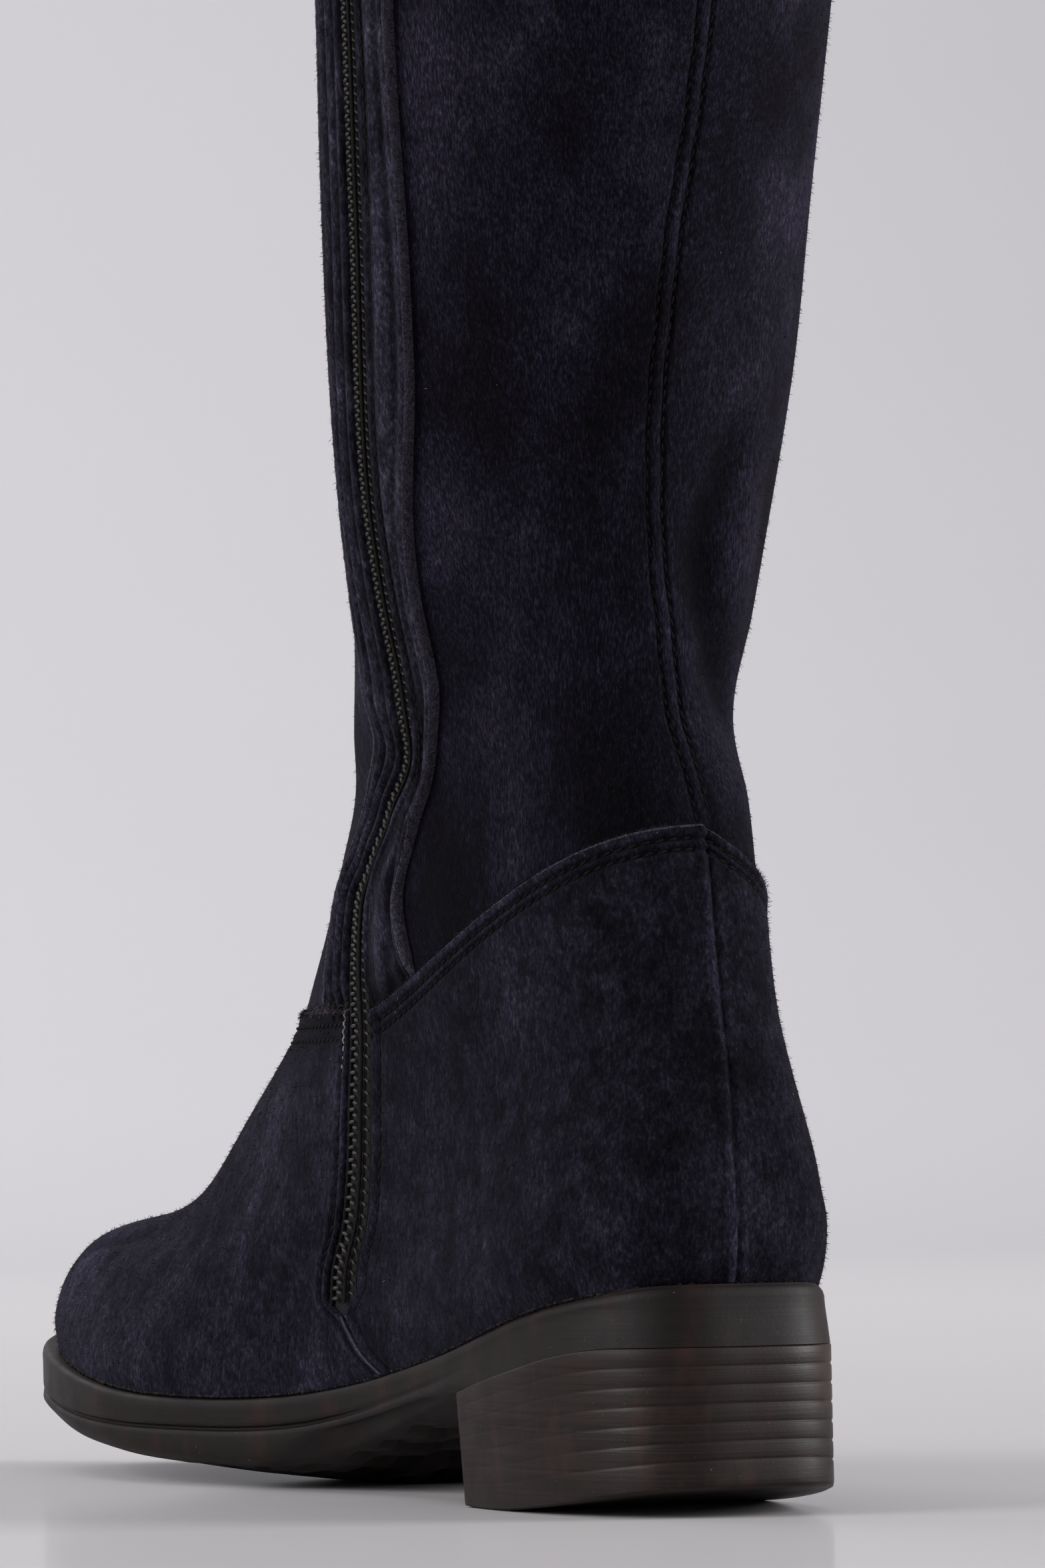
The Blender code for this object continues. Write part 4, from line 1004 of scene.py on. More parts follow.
@dataclass
class Panel:
    """A piece of leather on the boot, with rounded edges that go down to the shell."""

    name: str
    left: Edge
    right: Edge
    foot: Edge
    top: Edge
    low: float
    high: float
    across: int
    up: int
    finish: Finish
    edge_finish: Finish = Finish.CUT_EDGE
    raw: tuple[str, ...] = ()
    replaces: tuple[str, ...] = ()
    relief: Relief | None = None
    focus_across: tuple[Triple, ...] = ()
    focus_up: tuple[Triple, ...] = ()
    sink: float = 0.0

    def shares(self, count: int, span: float, focus: Sequence[Triple]
               ) -> tuple[np.ndarray, np.ndarray]:
        """Share along one way for each line of the grid, and how far it is let down.

        Args:
            count: faces along this way.
            span: length this way.
            focus: place, width and extra density of the parts that need closer lines.

        Returns:
            Shares and drops.
        """
        inner = count - 2 * len(SKIRT_DROP) + 1
        rim = SKIRT_IN / span
        fine = np.linspace(0.0, 1.0, 4001)
        density = np.ones_like(fine)
        for centre, width, extra in focus:
            density += extra * np.exp(-((fine - centre) / width) ** 2)
        total = np.concatenate(([0.0], np.cumsum(0.5 * (density[1:] + density[:-1]))))
        even = np.interp(np.linspace(0.0, total[-1], inner), total, fine)
        middle = SKIRT_END / span + (1 - 2 * SKIRT_END / span) * even
        share = np.concatenate((rim, middle, 1 - rim[::-1]))
        drop = np.concatenate((SKIRT_DROP, np.zeros(inner), SKIRT_DROP[::-1]))
        return share, drop

    def build(self) -> bpy.types.Object:
        """Make the panel, dress it and put it on the frame."""
        bm, column, row = grid_mesh(self.across, self.up)
        near_zip = np.array([0.1])
        foot, top = self.foot(near_zip), self.top(near_zip)
        middle = 0.5 * (foot + top)
        width = ((self.right(middle) - self.left(middle)) * FORM.girth(middle))[0]
        share_s, drop_s = self.shares(self.across, max(width, 4.0), self.focus_across)
        share_t, drop_t = self.shares(self.up, max((top - foot)[0], 4.0), self.focus_up)
        s = share_s[column]
        t = share_t[row]
        level = self.foot(np.zeros_like(s))
        for _ in range(12):
            place = self.left(level) + (self.right(level) - self.left(level)) * s
            level = self.foot(place) + (self.top(place) - self.foot(place)) * t
        drop = np.maximum(drop_s[column], drop_t[row])
        lift = self.high + (self.low - self.high) * drop
        # Relief heights kept for the material: creases and troughs get painted shade, ridges a
        # painted highlight.
        relief_light = -0.35 * pressed_in(level, place)
        if self.relief:
            shape = self.relief(level, place) * (1 - drop)
            lift = lift + shape
            relief_light = relief_light + shape
        points = FORM.at(level, place, lift)
        points[:, 2] -= self.sink * drop_t[row] * (t < 0.5)
        place_points(bm, points)
        layer = bm.verts.layers.float.new(RELIEF_LIGHT)
        for vertex, value in zip(bm.verts, relief_light):
            vertex[layer] = value
        self.colour_edges(bm, column, row)
        # The skirts meet in one point at each corner; merge it so that no empty face is left.
        bmesh.ops.remove_doubles(bm, verts=bm.verts, dist=MERGE_THREAD)
        bmesh.ops.recalc_face_normals(bm, faces=bm.faces)
        self.face_out(bm)
        return add_piece(self.name, mesh_from(self.name, bm), (self.finish, self.edge_finish),
                         self.replaces)

    def colour_edges(self, bm: bmesh.types.BMesh, column: np.ndarray, row: np.ndarray
                     ) -> None:
        """Give the raw sides' edge faces the cut-edge finish.

        Args:
            bm: the panel's bmesh.
            column: each point's column.
            row: each point's row.
        """
        sides = {
            "left": lambda c, r: c < len(SKIRT_DROP),
            "right": lambda c, r: c > self.across - len(SKIRT_DROP),
            "foot": lambda c, r: r < len(SKIRT_DROP),
            "top": lambda c, r: r > self.up - len(SKIRT_DROP),
        }
        bm.faces.ensure_lookup_table()
        for face in bm.faces:
            c = np.mean([column[v.index] for v in face.verts])
            r = np.mean([row[v.index] for v in face.verts])
            if any(sides[side](c, r) for side in self.raw):
                face.material_index = 1

    def face_out(self, bm: bmesh.types.BMesh) -> None:
        """Turn the sheet so that it faces away from the leg."""
        total = 0.0
        for face in list(bm.faces)[:: max(1, len(bm.faces) // 400)]:
            centre = face.calc_center_median()
            axis = Vector((-0.002, 0.010, centre.z))
            total += (centre - axis).dot(face.normal) * face.calc_area()
        if total < 0:
            bmesh.ops.reverse_faces(bm, faces=bm.faces)


def tube_frames(points: np.ndarray) -> list[Matrix]:
    """Frames along a polyline, Z along it."""
    frames = []
    for k in range(len(points) - 1):
        start = Vector(points[k])
        run = Vector(points[k + 1]) - start
        turn = run.to_track_quat("Z", "Y").to_matrix().to_4x4()
        frames.append(Matrix.Translation(start + run * 0.5) @ turn)
    return frames


def stamp(base: bmesh.types.BMesh, frames: Sequence[Matrix]) -> bmesh.types.BMesh:
    """Copy a small shape to many places and join the copies.

    Args:
        base: the shape, freed here.
        frames: where each copy stands.

    Returns:
        One bmesh with every copy.
    """
    mesh = bpy.data.meshes.new("stamp")
    base.to_mesh(mesh)
    base.free()
    joined = bmesh.new()
    for frame in frames:
        copy = mesh.copy()
        copy.transform(frame)
        joined.from_mesh(copy)
        bpy.data.meshes.remove(copy)
    bpy.data.meshes.remove(mesh)
    return joined


# ---------------------------------------------------------------- sub-assemblies


@dataclass
class Shaft:
    """The leg of the boot: stretch back, suede front, lining and bound collar."""

    seam_place: float = 0.75
    tuck: float = 3.0
    under_binding: float = 0.6

    def build(self) -> None:
        """Make every piece of the shaft."""
        self.stretch_back()
        self.suede_front()
        self.lining()
        self.collar()

    def stretch_back(self) -> None:
        """Stretch panel from under the rear facing round the back to the outer seam."""
        Panel("shaft_stretch_back",
              lambda level: np.full_like(level, self.seam_place - 1.0),
              lambda level: facing_edge(level) + 1.5 / FORM.girth(level),
              lambda place: quarter_top(place) - self.tuck,
              lambda place: np.full_like(place, COLLAR - self.under_binding),
              low=-0.8, high=0.0, across=190, up=260, finish=Finish.STRETCH,
              replaces=("upper",),
              relief=back_seam_relief, focus_across=((0.57, 0.035, 9.0),),
              focus_up=((0.1, 0.12, 1.0),)).build()

    def suede_front(self) -> None:
        """Suede front from the zip round to the outer seam."""
        def foot(place: np.ndarray) -> np.ndarray:
            """Just under the vamp, or under the quarter where that reaches."""
            return np.where(place > 0.70, quarter_top(place - 1.0), VAMP_TOP) - self.tuck

        Panel("shaft_suede_front",
              lambda level: zip_place(level, 3.4),
              lambda level: np.full_like(level, self.seam_place + 0.002),
              foot,
              lambda place: np.full_like(place, COLLAR - self.under_binding),
              low=-0.7, high=0.15, across=120, up=230, finish=Finish.SUEDE_SHAFT).build()

    def lining(self) -> None:
        """Inner skin from the feather line to the collar."""
        around, up = 120, 130
        bm, column, row = grid_mesh(around, up)
        level = FEATHER + (COLLAR - 2.0 - FEATHER) * (row / up) ** 1.25
        points = FORM.at(level, column / around, -WALL + 0.1)
        at_foot = row == 0
        points[at_foot, 2] = sole_line(1, points[at_foot, 1]) + FEATHER_GAP
        add_skin("shaft_lining", bm, points, Finish.LINING, MERGE_SKIN)

    def collar(self) -> None:
        """Folded binding over the top edge."""
        # Height from the collar and distance out from the shell.
        profile = np.array(((-9.0, -0.15), (-8.6, 0.25), (-5.0, 0.35), (-1.2, 0.35),
                            (-0.2, -0.1), (0.2, -0.9), (-0.2, -1.8), (-1.2, -2.25),
                            (-5.0, -2.25), (-8.8, -2.2), (-9.0, -1.9)))
        around = 160
        bm, column, row = grid_mesh(around, len(profile) - 1)
        rise, lift = profile[row].T
        points = FORM.at(np.minimum(COLLAR + rise, COLLAR), column / around, lift)
        points[:, 2] += np.maximum(rise, 0.0)
        add_skin("collar_binding", bm, points, Finish.SUEDE_SHAFT, MERGE_SKIN)


class FootLeather:
    """Vamp and heel quarter over the foot."""

    def build(self) -> None:
        """Make the vamp and the quarter."""
        Panel("vamp_suede",
              vamp_rear,
              lambda level: 1.0 - seam_place(level, SEAM_GAP),
              lambda place: np.full_like(place, FEATHER),
              lambda place: np.full_like(place, VAMP_TOP),
              low=0.3, high=1.5, across=250, up=160, finish=Finish.SUEDE_VAMP,
              raw=("top",),
              replaces=("vamp",), relief=vamp_relief, sink=0.55,
              focus_across=((0.0, 0.02, 5.0), (1.0, 0.02, 2.0)),
              focus_up=((0.93, 0.09, 2.5),)).build()
        Panel("heel_quarter_suede",
              lambda level: -seam_place(level, -SEAM_GAP),
              quarter_front,
              lambda place: np.full_like(place, FEATHER),
              quarter_top,
              low=0.3, high=1.5, across=290, up=190, finish=Finish.SUEDE_QUARTER,
              raw=("top",),
              replaces=("heel_quarter",), relief=quarter_relief, sink=0.55,
              focus_across=((0.495, 0.022, 9.0), (1.0, 0.03, 3.0)),
              focus_up=((0.95, 0.07, 3.5),)).build()


@dataclass
class SideZip:
    """Zip on the inner side: facings, tape, coil chain, slider and pull."""

    pitch: float = 1.7
    facing_width: float = 16.5
    under_binding: float = 0.4
    tape_half_width: float = 4.9
    tape_rows: int = 300
    cord_rows: int = 900
    thread_sides: int = 6

    def build(self) -> None:
        """Make every piece of the zip."""
        Panel("zip_facing_rear_suede",
              facing_edge,
              lambda level: zip_place(level, -COIL_EDGE),
              lambda place: quarter_top(place) - 2.2,
              lambda place: np.full_like(place, COLLAR - self.under_binding),
              low=0.2, high=2.1, across=46, up=500, finish=Finish.SUEDE_FACING,
              raw=("left",),
              replaces=("zip_facing_rear",), relief=rear_facing_relief).build()
        Panel("zip_facing_front_suede",
              lambda level: zip_place(level, COIL_EDGE),
              lambda level: zip_place(level, self.facing_width),
              lambda place: np.full_like(place, VAMP_TOP - 2.0),
              lambda place: np.full_like(place, COLLAR - self.under_binding),
              low=0.2, high=1.9, across=46, up=500, finish=Finish.SUEDE_FACING,
              raw=("right",),
              replaces=("zip_facing_front",), relief=front_facing_relief).build()
        self.tape()
        self.teeth()
        self.rims()
        for node in ("zip_slider", "zip_pull"):
            materials = bpy.data.objects[node].data.materials
            materials.clear()
            materials.append(PALETTE.get(Finish.METAL))

    def tape(self) -> None:
        """Woven tape under the chain."""
        bm, column, row = grid_mesh(10, self.tape_rows)
        level = ZIP_FOOT - 6.0 + (ZIP_TOP - ZIP_FOOT + 6.0) * row / self.tape_rows
        offset = self.tape_half_width * (column / 5 - 1.0)
        place_points(bm, FORM.at(level, zip_place(level, offset), 0.45))
        add_piece("zip_tape_woven", mesh_from("zip_tape_woven", bm), (Finish.TAPE,),
                  ("zip_tape",))

    def frames(self, offset: float, lift: float, shift: float) -> list[Matrix]:
        """Frames up the zip at one pitch: X to the front, Y up the zip, Z out.

        Args:
            offset: distance in front of the zip's middle.
            lift: distance out from the shell.
            shift: share of a pitch by which this row is moved up.

        Returns:
            One frame for each loop.
        """
        count = int((ZIP_TOP - ZIP_FOOT) / self.pitch)
        level = ZIP_FOOT + self.pitch * (np.arange(count) + shift)
        here, above, ahead = (
            to_metres(FORM.at(level + up, zip_place(level + up, offset + front), lift))
            for up, front in ((0.0, 0.0), (1.0, 0.0), (0.0, 1.0)))
        made = []
        for point, up_point, front_point, wide in zip(here, above, ahead, opened(level)):
            up = (Vector(up_point) - Vector(point)).normalized()
            front = (Vector(front_point) - Vector(point))
            front = (front - up * front.dot(up)).normalized()
            turn = Matrix((front * float(wide) ** 0.8, up, front.cross(up))).transposed().to_4x4()
            made.append(Matrix.Translation(Vector(point)) @ turn)
        return made

    def pill(self, size: Sequence[float], slant: float) -> bmesh.types.BMesh:
        """Rounded loop of the coil, its half sizes in millimetres, turned in its plane."""
        bm = bmesh.new()
        bmesh.ops.create_uvsphere(bm, u_segments=10, v_segments=6, radius=1.0)
        bmesh.ops.scale(bm, vec=[value * MM for value in size], verts=bm.verts)
        bmesh.ops.rotate(bm, matrix=Matrix.Rotation(slant, 3, "Z"), verts=bm.verts)
        return bm

    def teeth(self) -> None:
        """Coil of the closed zip: a row of round heads and a row of slanted loops."""
        # Half sizes and slant of each loop, its place before the middle, lift and shift.
        rows = (((0.74, 0.42, 0.52), -0.30, 1.25, 1.40, 0.0),
                ((0.68, 0.40, 0.50), 0.28, 0.50, 1.40, 0.5),
                ((0.62, 0.24, 0.36), 0.55, -1.75, 1.05, 0.25))
        bm = bmesh.new()
        for size, slant, offset, lift, shift in rows:
            loops = mesh_from("loops", stamp(self.pill(size, slant),
                                             self.frames(offset, lift, shift)))
            bm.from_mesh(loops)
            bpy.data.meshes.remove(loops)
        add_piece("zip_chain_coil", mesh_from("zip_chain_coil", bm), (Finish.COIL,),
                  ("zip_chain",))
        for name, offset, lift, radius in (("zip_cord_front", 2.45, 1.0, 0.30),
                                           ("zip_cord_middle", -0.50, 1.3, 0.36),
                                           ("zip_cord_rear", -2.65, 0.95, 0.24)):
            self.cord(name, offset, lift, radius)

    def piping(self, name: str, level: np.ndarray, place: np.ndarray, lift: float | np.ndarray,
               radius: float, finish: Finish) -> None:
        """Thin raw rim or thread along a line on the skin.

        Args:
            name: the piece's name.
            level: levels along the line.
            place: places along the line.
            lift: distance out from the shell.
            radius: the rim's radius.
            finish: its finish.
        """
        bm, column, row = grid_mesh(self.thread_sides, len(place) - 1)
        angle = 2 * np.pi * column / self.thread_sides
        swell = radius * (1 + 0.2 * np.sin(row * 1.7) * np.sin(row * 0.63))
        level = np.broadcast_to(level, place.shape)[row]
        out = np.broadcast_to(lift, place.shape)[row] + swell * np.sin(angle)
        shift = swell * np.cos(angle)
        if np.ptp(place) > 0.5:
            points = FORM.at(level + shift, place[row], out)
        else:
            points = FORM.at(level, place[row] + shift / FORM.girth(level), out)
        add_skin(name, bm, points, finish, MERGE_THREAD)

    def rims(self) -> None:
        """Raw rims seen along the front facing, the lower seam and the vamp's corner."""
        level = np.linspace(VAMP_TOP + 1.0, 530.0, 600)
        self.piping("facing_front_rim", level, zip_place(level, self.facing_width - 0.1), 1.75,
                    0.34, Finish.CUT_EDGE)
        level = np.linspace(FEATHER + 0.3, ZIP_FOOT - 3.0, 30)
        self.piping("seam_rim_vamp", level, seam_place(level, 0.75), 1.55, 0.30,
                    Finish.CUT_EDGE)
        self.piping("seam_rim_quarter", level, seam_place(level, -0.9), 1.45, 0.24,
                    Finish.CUT_EDGE)
        chance = np.random.default_rng(3)
        place = np.linspace(0.0, 1.0, 1600)
        self.piping("feather_edge_frayed", FEATHER + 0.1 + chance.uniform(-0.1, 0.2, 1600), place,
                    1.05 + chance.normal(0.0, 0.14, 1600), 0.30, Finish.GLUE_EDGE)
        level = np.linspace(88.0, 96.6, 24)
        self.piping("zip_loose_thread", level,
                    zip_place(level, 4.6 + 0.30 * np.sin(1.1 * level)),
                    1.50 + 0.22 * np.sin(5.0 * level), 0.17, Finish.PALE_THREAD)

    def cord(self, name: str, offset: float, lift: float, radius: float) -> None:
        """Thread that runs beside the coil.

        Args:
            name: the piece's name.
            offset: distance in front of the zip's middle.
            lift: distance out from the shell.
            radius: the thread's radius.
        """
        bm, column, row = grid_mesh(self.thread_sides, self.cord_rows)
        angle = 2 * np.pi * column / self.thread_sides
        level = ZIP_FOOT - 1.0 + (ZIP_TOP - ZIP_FOOT) * row / self.cord_rows
        swell = radius * (1 + 0.18 * np.sin(2 * np.pi * level / self.pitch))
        points = FORM.at(level, zip_place(level, offset + swell * np.cos(angle)),
                         lift + swell * np.sin(angle))
        add_skin(name, bm, points, Finish.THREAD, MERGE_THREAD)


@dataclass
class Stitching:
    """Thread seen as small sunk stitches along the seams."""

    pitch: float = 2.5
    length: float = 1.9
    thickness: float = 0.33
    slant: float = 0.22
    rows: list[np.ndarray] = field(default_factory=list)

    def follow(self, level: np.ndarray, place: np.ndarray, lift: float | np.ndarray) -> None:
        """Add a row along a line on the skin, spaced evenly.

        Args:
            level: levels along the line.
            place: places along the line.
            lift: distance out from the shell.
        """
        line = FORM.at(level, place, lift)
        reach = travelled(*line.T)
        wanted = np.linspace(0.0, reach[-1], max(2, int(reach[-1] / self.pitch)))
        self.rows.append(to_metres(np.column_stack([np.interp(wanted, reach, values)
                                                    for values in line.T])))

    def plan(self) -> None:
        """Lay out every row."""
        place = np.linspace(-0.29, 0.27, 160)
        for below in TOP_STITCHES:
            self.follow(quarter_top(place) - below, place, 1.12)
        level = np.linspace(129.0, 526.0, 400)
        for offset in (-1.5, 1.5):
            self.follow(level, back_seam(level, offset), -0.42)
        level = np.linspace(106.0, 526.0, 400)
        self.follow(level, zip_place(level, -COIL_EDGE - 2.1), 1.75)
        level = np.linspace(99.0, 526.0, 400)
        self.follow(level, zip_place(level, COIL_EDGE + 2.6), 1.45)
        place = np.linspace(0.325, 0.685, 120)
        for below in TOP_STITCHES:
            self.follow(np.full(120, VAMP_TOP - below), place, 0.75)
        level = np.linspace(60.0, 95.0, 40)
        self.follow(level, zip_place(level, COIL_EDGE + 2.5), 1.2)
        self.follow(level, zip_place(level, -COIL_EDGE - 3.4), 1.25)
        level = np.linspace(45.0, 95.0, 60)
        for offset in (2.0, 4.2):
            self.follow(level, 1.0 - seam_place(level, offset), 1.5)
        level = np.linspace(98.0, 526.0, 400)
        for offset in (-2.0, 2.0):
            self.follow(level, 0.75 + offset / FORM.girth(level), 0.2)

    def build(self) -> None:
        """Lay every row and join the stitches."""
        self.plan()
        bm = bmesh.new()
        bmesh.ops.create_uvsphere(bm, u_segments=6, v_segments=4, radius=1.0)
        bmesh.ops.scale(bm, vec=(self.thickness * MM, self.thickness * MM,
                                 0.5 * self.length * MM), verts=bm.verts)
        bmesh.ops.rotate(bm, matrix=Matrix.Rotation(self.slant, 3, "X"), verts=bm.verts)
        frames = [frame for row in self.rows for frame in tube_frames(row)]
        add_piece("seam_stitching", mesh_from("seam_stitching", stamp(bm, frames)),
                  (Finish.THREAD,))


@dataclass
class Nap:
    """Loose fibres of the suede and the velour, and a little pale lint on them."""

    spread: dict[str, int] = field(default_factory=lambda: {
        "shaft_stretch_back": 14000, "shaft_suede_front": 6000, "vamp_suede": 12000,
        "heel_quarter_suede": 14000, "zip_facing_rear_suede": 12000,
        "zip_facing_front_suede": 7000})
    edge_weight: float = 25.0
    frayed: int = 520
    lint_each: int = 30
    width: float = 0.07

    def roots(self, piece: bpy.types.Object, count: int, chance: np.random.Generator
              ) -> tuple[np.ndarray, np.ndarray]:
        """Random places on a piece, closer together on its raw edges.

        Args:
            piece: the leather piece.
            count: number of fibres.
            chance: source of random numbers.

        Returns:
            Points and outward directions.
        """
        polygons = piece.data.polygons
        values = {}
        for name, size in (("center", 3), ("normal", 3), ("area", 1), ("material_index", 1)):
            flat = np.empty(len(polygons) * size,
                            np.int32 if name == "material_index" else np.float32)
            polygons.foreach_get(name, flat)
            values[name] = flat.reshape(-1, size) if size == 3 else flat
        weight = values["area"] * np.where(values["material_index"] > 0, self.edge_weight, 1.0)
        chosen = chance.choice(len(polygons), count, p=weight / weight.sum())
        side = chance.normal(0.0, 0.5 * MM, (count, 3))
        normal = values["normal"][chosen]
        side -= normal * (side * normal).sum(axis=1, keepdims=True)
        return values["center"][chosen] + side, normal

    def fibres(self, name: str, finish: Finish, root: np.ndarray, normal: np.ndarray,
               length: Pair, rise: float, chance: np.random.Generator) -> None:
        """Join thin pointed fibres into one piece.

        Args:
            name: the piece's name.
            finish: its finish.
            root: where each fibre starts.
            normal: outward direction at each root.
            length: shortest and longest fibre.
            rise: how far the fibres stand up.
            chance: source of random numbers.
        """
        count = len(root)
        lean = chance.normal(0.0, 0.55, (count, 3)) + np.array((0.0, 0.0, -0.75))
        run = normal * rise + lean * 0.6
        run /= np.linalg.norm(run, axis=1, keepdims=True)
        size = chance.uniform(length[0], length[1], (count, 1)) * MM
        across = np.cross(run, chance.normal(0.0, 1.0, (count, 3)))
        across *= self.width * MM / np.linalg.norm(across, axis=1, keepdims=True)
        start = root - normal * 0.05 * MM
        points = np.stack((start - across, start + across, start + run * size), axis=1)
        mesh = bpy.data.meshes.new(name)
        mesh.from_pydata(points.reshape(-1, 3).tolist(), [],
                         np.arange(3 * count).reshape(-1, 3).tolist())
        add_piece(name, mesh, (finish,))

    def frayed_corner(self, chance: np.random.Generator) -> None:
        """Pale frayed fibres round the vamp's cut corner beside the zip."""
        count = self.frayed
        along = chance.uniform(0.0, 1.0, count) ** 1.2
        top = chance.uniform(0.0, 1.0, count) < 0.6
        level = np.where(top, VAMP_TOP + chance.normal(0.0, 0.5, count), VAMP_TOP - 26.0 * along)
        offset = np.where(top, COIL_EDGE + 24.0 * along,
                          COIL_EDGE + 0.9 + chance.normal(0.0, 0.25, count))
        near, far = (to_metres(FORM.at(level, zip_place(level, offset), lift))
                     for lift in (1.35, 2.35))
        self.fibres("vamp_corner_frayed", Finish.FRAY, near, (far - near) / MM, (0.4, 1.5), 0.55,
                    chance)

    def build(self) -> None:
        """Grow the fibres on every leather piece."""
        chance = np.random.default_rng(7)
        lint_roots, lint_normals = [], []
        for name, count in self.spread.items():
            root, normal = self.roots(bpy.data.objects[name], count, chance)
            self.fibres(name + "_nap", Finish.FIBRE, root, normal, (0.45, 1.15), 0.75, chance)
            lint_roots.append(root[:self.lint_each])
            lint_normals.append(normal[:self.lint_each])
        self.frayed_corner(chance)
        self.fibres("lint", Finish.LINT, np.vstack(lint_roots), np.vstack(lint_normals),
                    (0.3, 0.9), 0.3, chance)


# Lines down the sole's side: inset, what its height is measured from, and that height.
SOLE_SIDE = (
    (1.7, "top", 0.0), (1.05, "top", 0.10), (0.5, "top", 0.42), (0.16, "top", 0.95),
    (0.0, "top", 1.8), (0.06, "top", 3.0), (0.12, "groove", 1.3), (0.2, "groove", 0.7),
    (0.42, "groove", 0.35), (0.5, "groove", 0.0), (0.42, "groove", -0.35),
    (0.2, "groove", -0.7), (0.1, "groove", -1.6), (0.25, "edge", 3.0), (0.6, "edge", 2.1),
    (1.1, "edge", 1.2), (1.8, "edge", 0.5), (2.7, "under", 0.40), (3.8, "under", 0.16),
    (5.0, "under", 0.02),
)


@dataclass
class SoleUnit:
    """Moulded sole with its beaded edge, side groove, rolled lower edge and tread."""

    around: int = 420
    groove_depth: float = 0.9
    tread_pitch: float = 11.0
    tread_first: float = 98.0
    tread_count: int = 12
    flare_back: float = 1.8
    flare_side: float = 0.9

    def outline(self, inset: float, flare: float, angle: np.ndarray
                ) -> tuple[np.ndarray, np.ndarray, np.ndarray]:
        """Sole's plan outline, let out round the heel seat."""
        row = list(SOLE_OUTLINE)
        row[0] -= self.flare_back * flare
        row[2] += self.flare_side * flare
        return half_outline(row, angle, inset)

    def outline_at(self, inset: np.ndarray | float, flare: np.ndarray, angle: np.ndarray
                   ) -> tuple[np.ndarray, np.ndarray, np.ndarray]:
        """Plan outline whose inset and flare change round the sole.

        Args:
            inset: how far it is drawn in.
            flare: share of the heel seat's letting out.
            angle: angles round one side.

        Returns:
            Place along the foot, half width and middle line.
        """
        plain = self.outline(0.0, 0.0, angle)
        let_out = self.outline(0.0, 1.0, angle)
        drawn = self.outline(3.0, 1.0, angle)
        y, half = (plain[k] + (let_out[k] - plain[k]) * flare
                   + (drawn[k] - let_out[k]) * inset / 3.0 for k in (0, 1))
        return y, half, plain[2]

    def under(self, x: np.ndarray, y: np.ndarray) -> np.ndarray:
        """Height of the underside."""
        side = np.clip((3.0 - x) / 40.0, 0.0, 1.0)
        return np.maximum(sole_line(2, y), 0.0) + 5.0 * side ** 1.5 * smooth(105.0, 140.0, y)

    def channels(self, x: np.ndarray, y: np.ndarray, rim: np.ndarray) -> np.ndarray:
        """Depth of the wavy tread channels."""
        depth = np.zeros_like(x)
        for k in range(self.tread_count):
            line = self.tread_first + self.tread_pitch * k + 2.6 * np.sin(
                (x + 34.0) / 18.0 * 2 * np.pi)
            depth = np.maximum(depth, 1.0 - smooth(1.2, 2.1, np.abs(y - line)))
        start = 5.6 - 3.2 * smooth(185.0, 215.0, y)
        return 2.2 * depth * smooth(start, start + 1.6, rim)

    def build(self) -> None:
        """Make the sole as one closed skin wound from its top middle to its under middle."""
        fold, sign = both_sides(self.around)
        rings = [self.top_line(share, fold, sign) for share in (0.0, 0.5, 0.9)]
        rings += [self.side_line(*line, fold, sign) for line in SOLE_SIDE]
        rings += [self.under_line(share, fold, sign) for share in np.linspace(0.97, 0.0, 56)]
        bm, column, row = grid_mesh(self.around, len(rings) - 1)
        add_skin("sole_moulded", bm, np.array(rings)[row, column], Finish.SOLE, MERGE_SOLE,
                 ("outsole",))

    def top_line(self, share: float, fold: np.ndarray, sign: np.ndarray) -> np.ndarray:
        """Line across the top face at a share of its half width."""
        y, half, middle = self.outline(1.7, 0.0, fold)
        return np.column_stack((middle + sign * half * share, y, sole_line(1, y)))

    def under_line(self, share: float, fold: np.ndarray, sign: np.ndarray) -> np.ndarray:
        """Line of the underside at a share of its half width, cut by the tread."""
        y, half, middle = self.outline(5.5, 1.0, fold)
        x = middle + sign * half * share
        rim = 5.5 + half * (1 - share)
        return np.column_stack((x, y, self.under(x, y) + self.channels(x, y, rim)))

    def side_line(self, inset: float, origin: str, value: float, fold: np.ndarray,
                  sign: np.ndarray) -> np.ndarray:
        """Line round the side.

        Args:
            inset: how far the line is drawn in from the outline.
            origin: what its height is measured from: top, groove, edge or under.
            value: its height from there, or for under the share of the edge's roll.
            fold: angle round one side for each point.
            sign: side of each point.

        Returns:
            Points of the line.
        """
        y, half, middle = self.outline(0.2, 0.5, fold)
        foot = smooth(52.0, 84.0, y)
        top = sole_line(1, y)
        groove = sole_line(4, y)
        under = self.under(middle + sign * half, y)
        edge = np.maximum(sole_line(2, y) + sole_line(3, y), under - 0.8)
        if origin == "top":
            z = top - np.minimum(value, 0.45 * (top - groove))
        elif origin == "groove":
            z = groove + value
        elif origin == "edge":
            rounded = np.minimum(edge + value, groove - 1.7 - (3.4 - value) * 0.1)
            square = under + 0.16 * value
            z = square + (rounded - square) * foot
        else:
            z = under + (edge + 0.5 - under) * value * foot
            z = z + self.channels(middle + sign * half, y, np.full_like(y, inset)) * foot
        least = 1.0 if origin == "top" else 0.12
        drawn = inset if origin == "under" else inset * foot + min(inset, least) * (1 - foot)
        flare = np.clip((top - z) / (top - under), 0.0, 1.0)
        y, half, middle = self.outline_at(drawn, flare, fold)
        x = middle + sign * half
        if origin == "groove":
            depth = self.groove_depth * smooth(92.0, 125.0, y)
            x = x - sign * depth * (1 - smooth(0.05, 0.7, abs(value)))
        return np.column_stack((x, y, z))


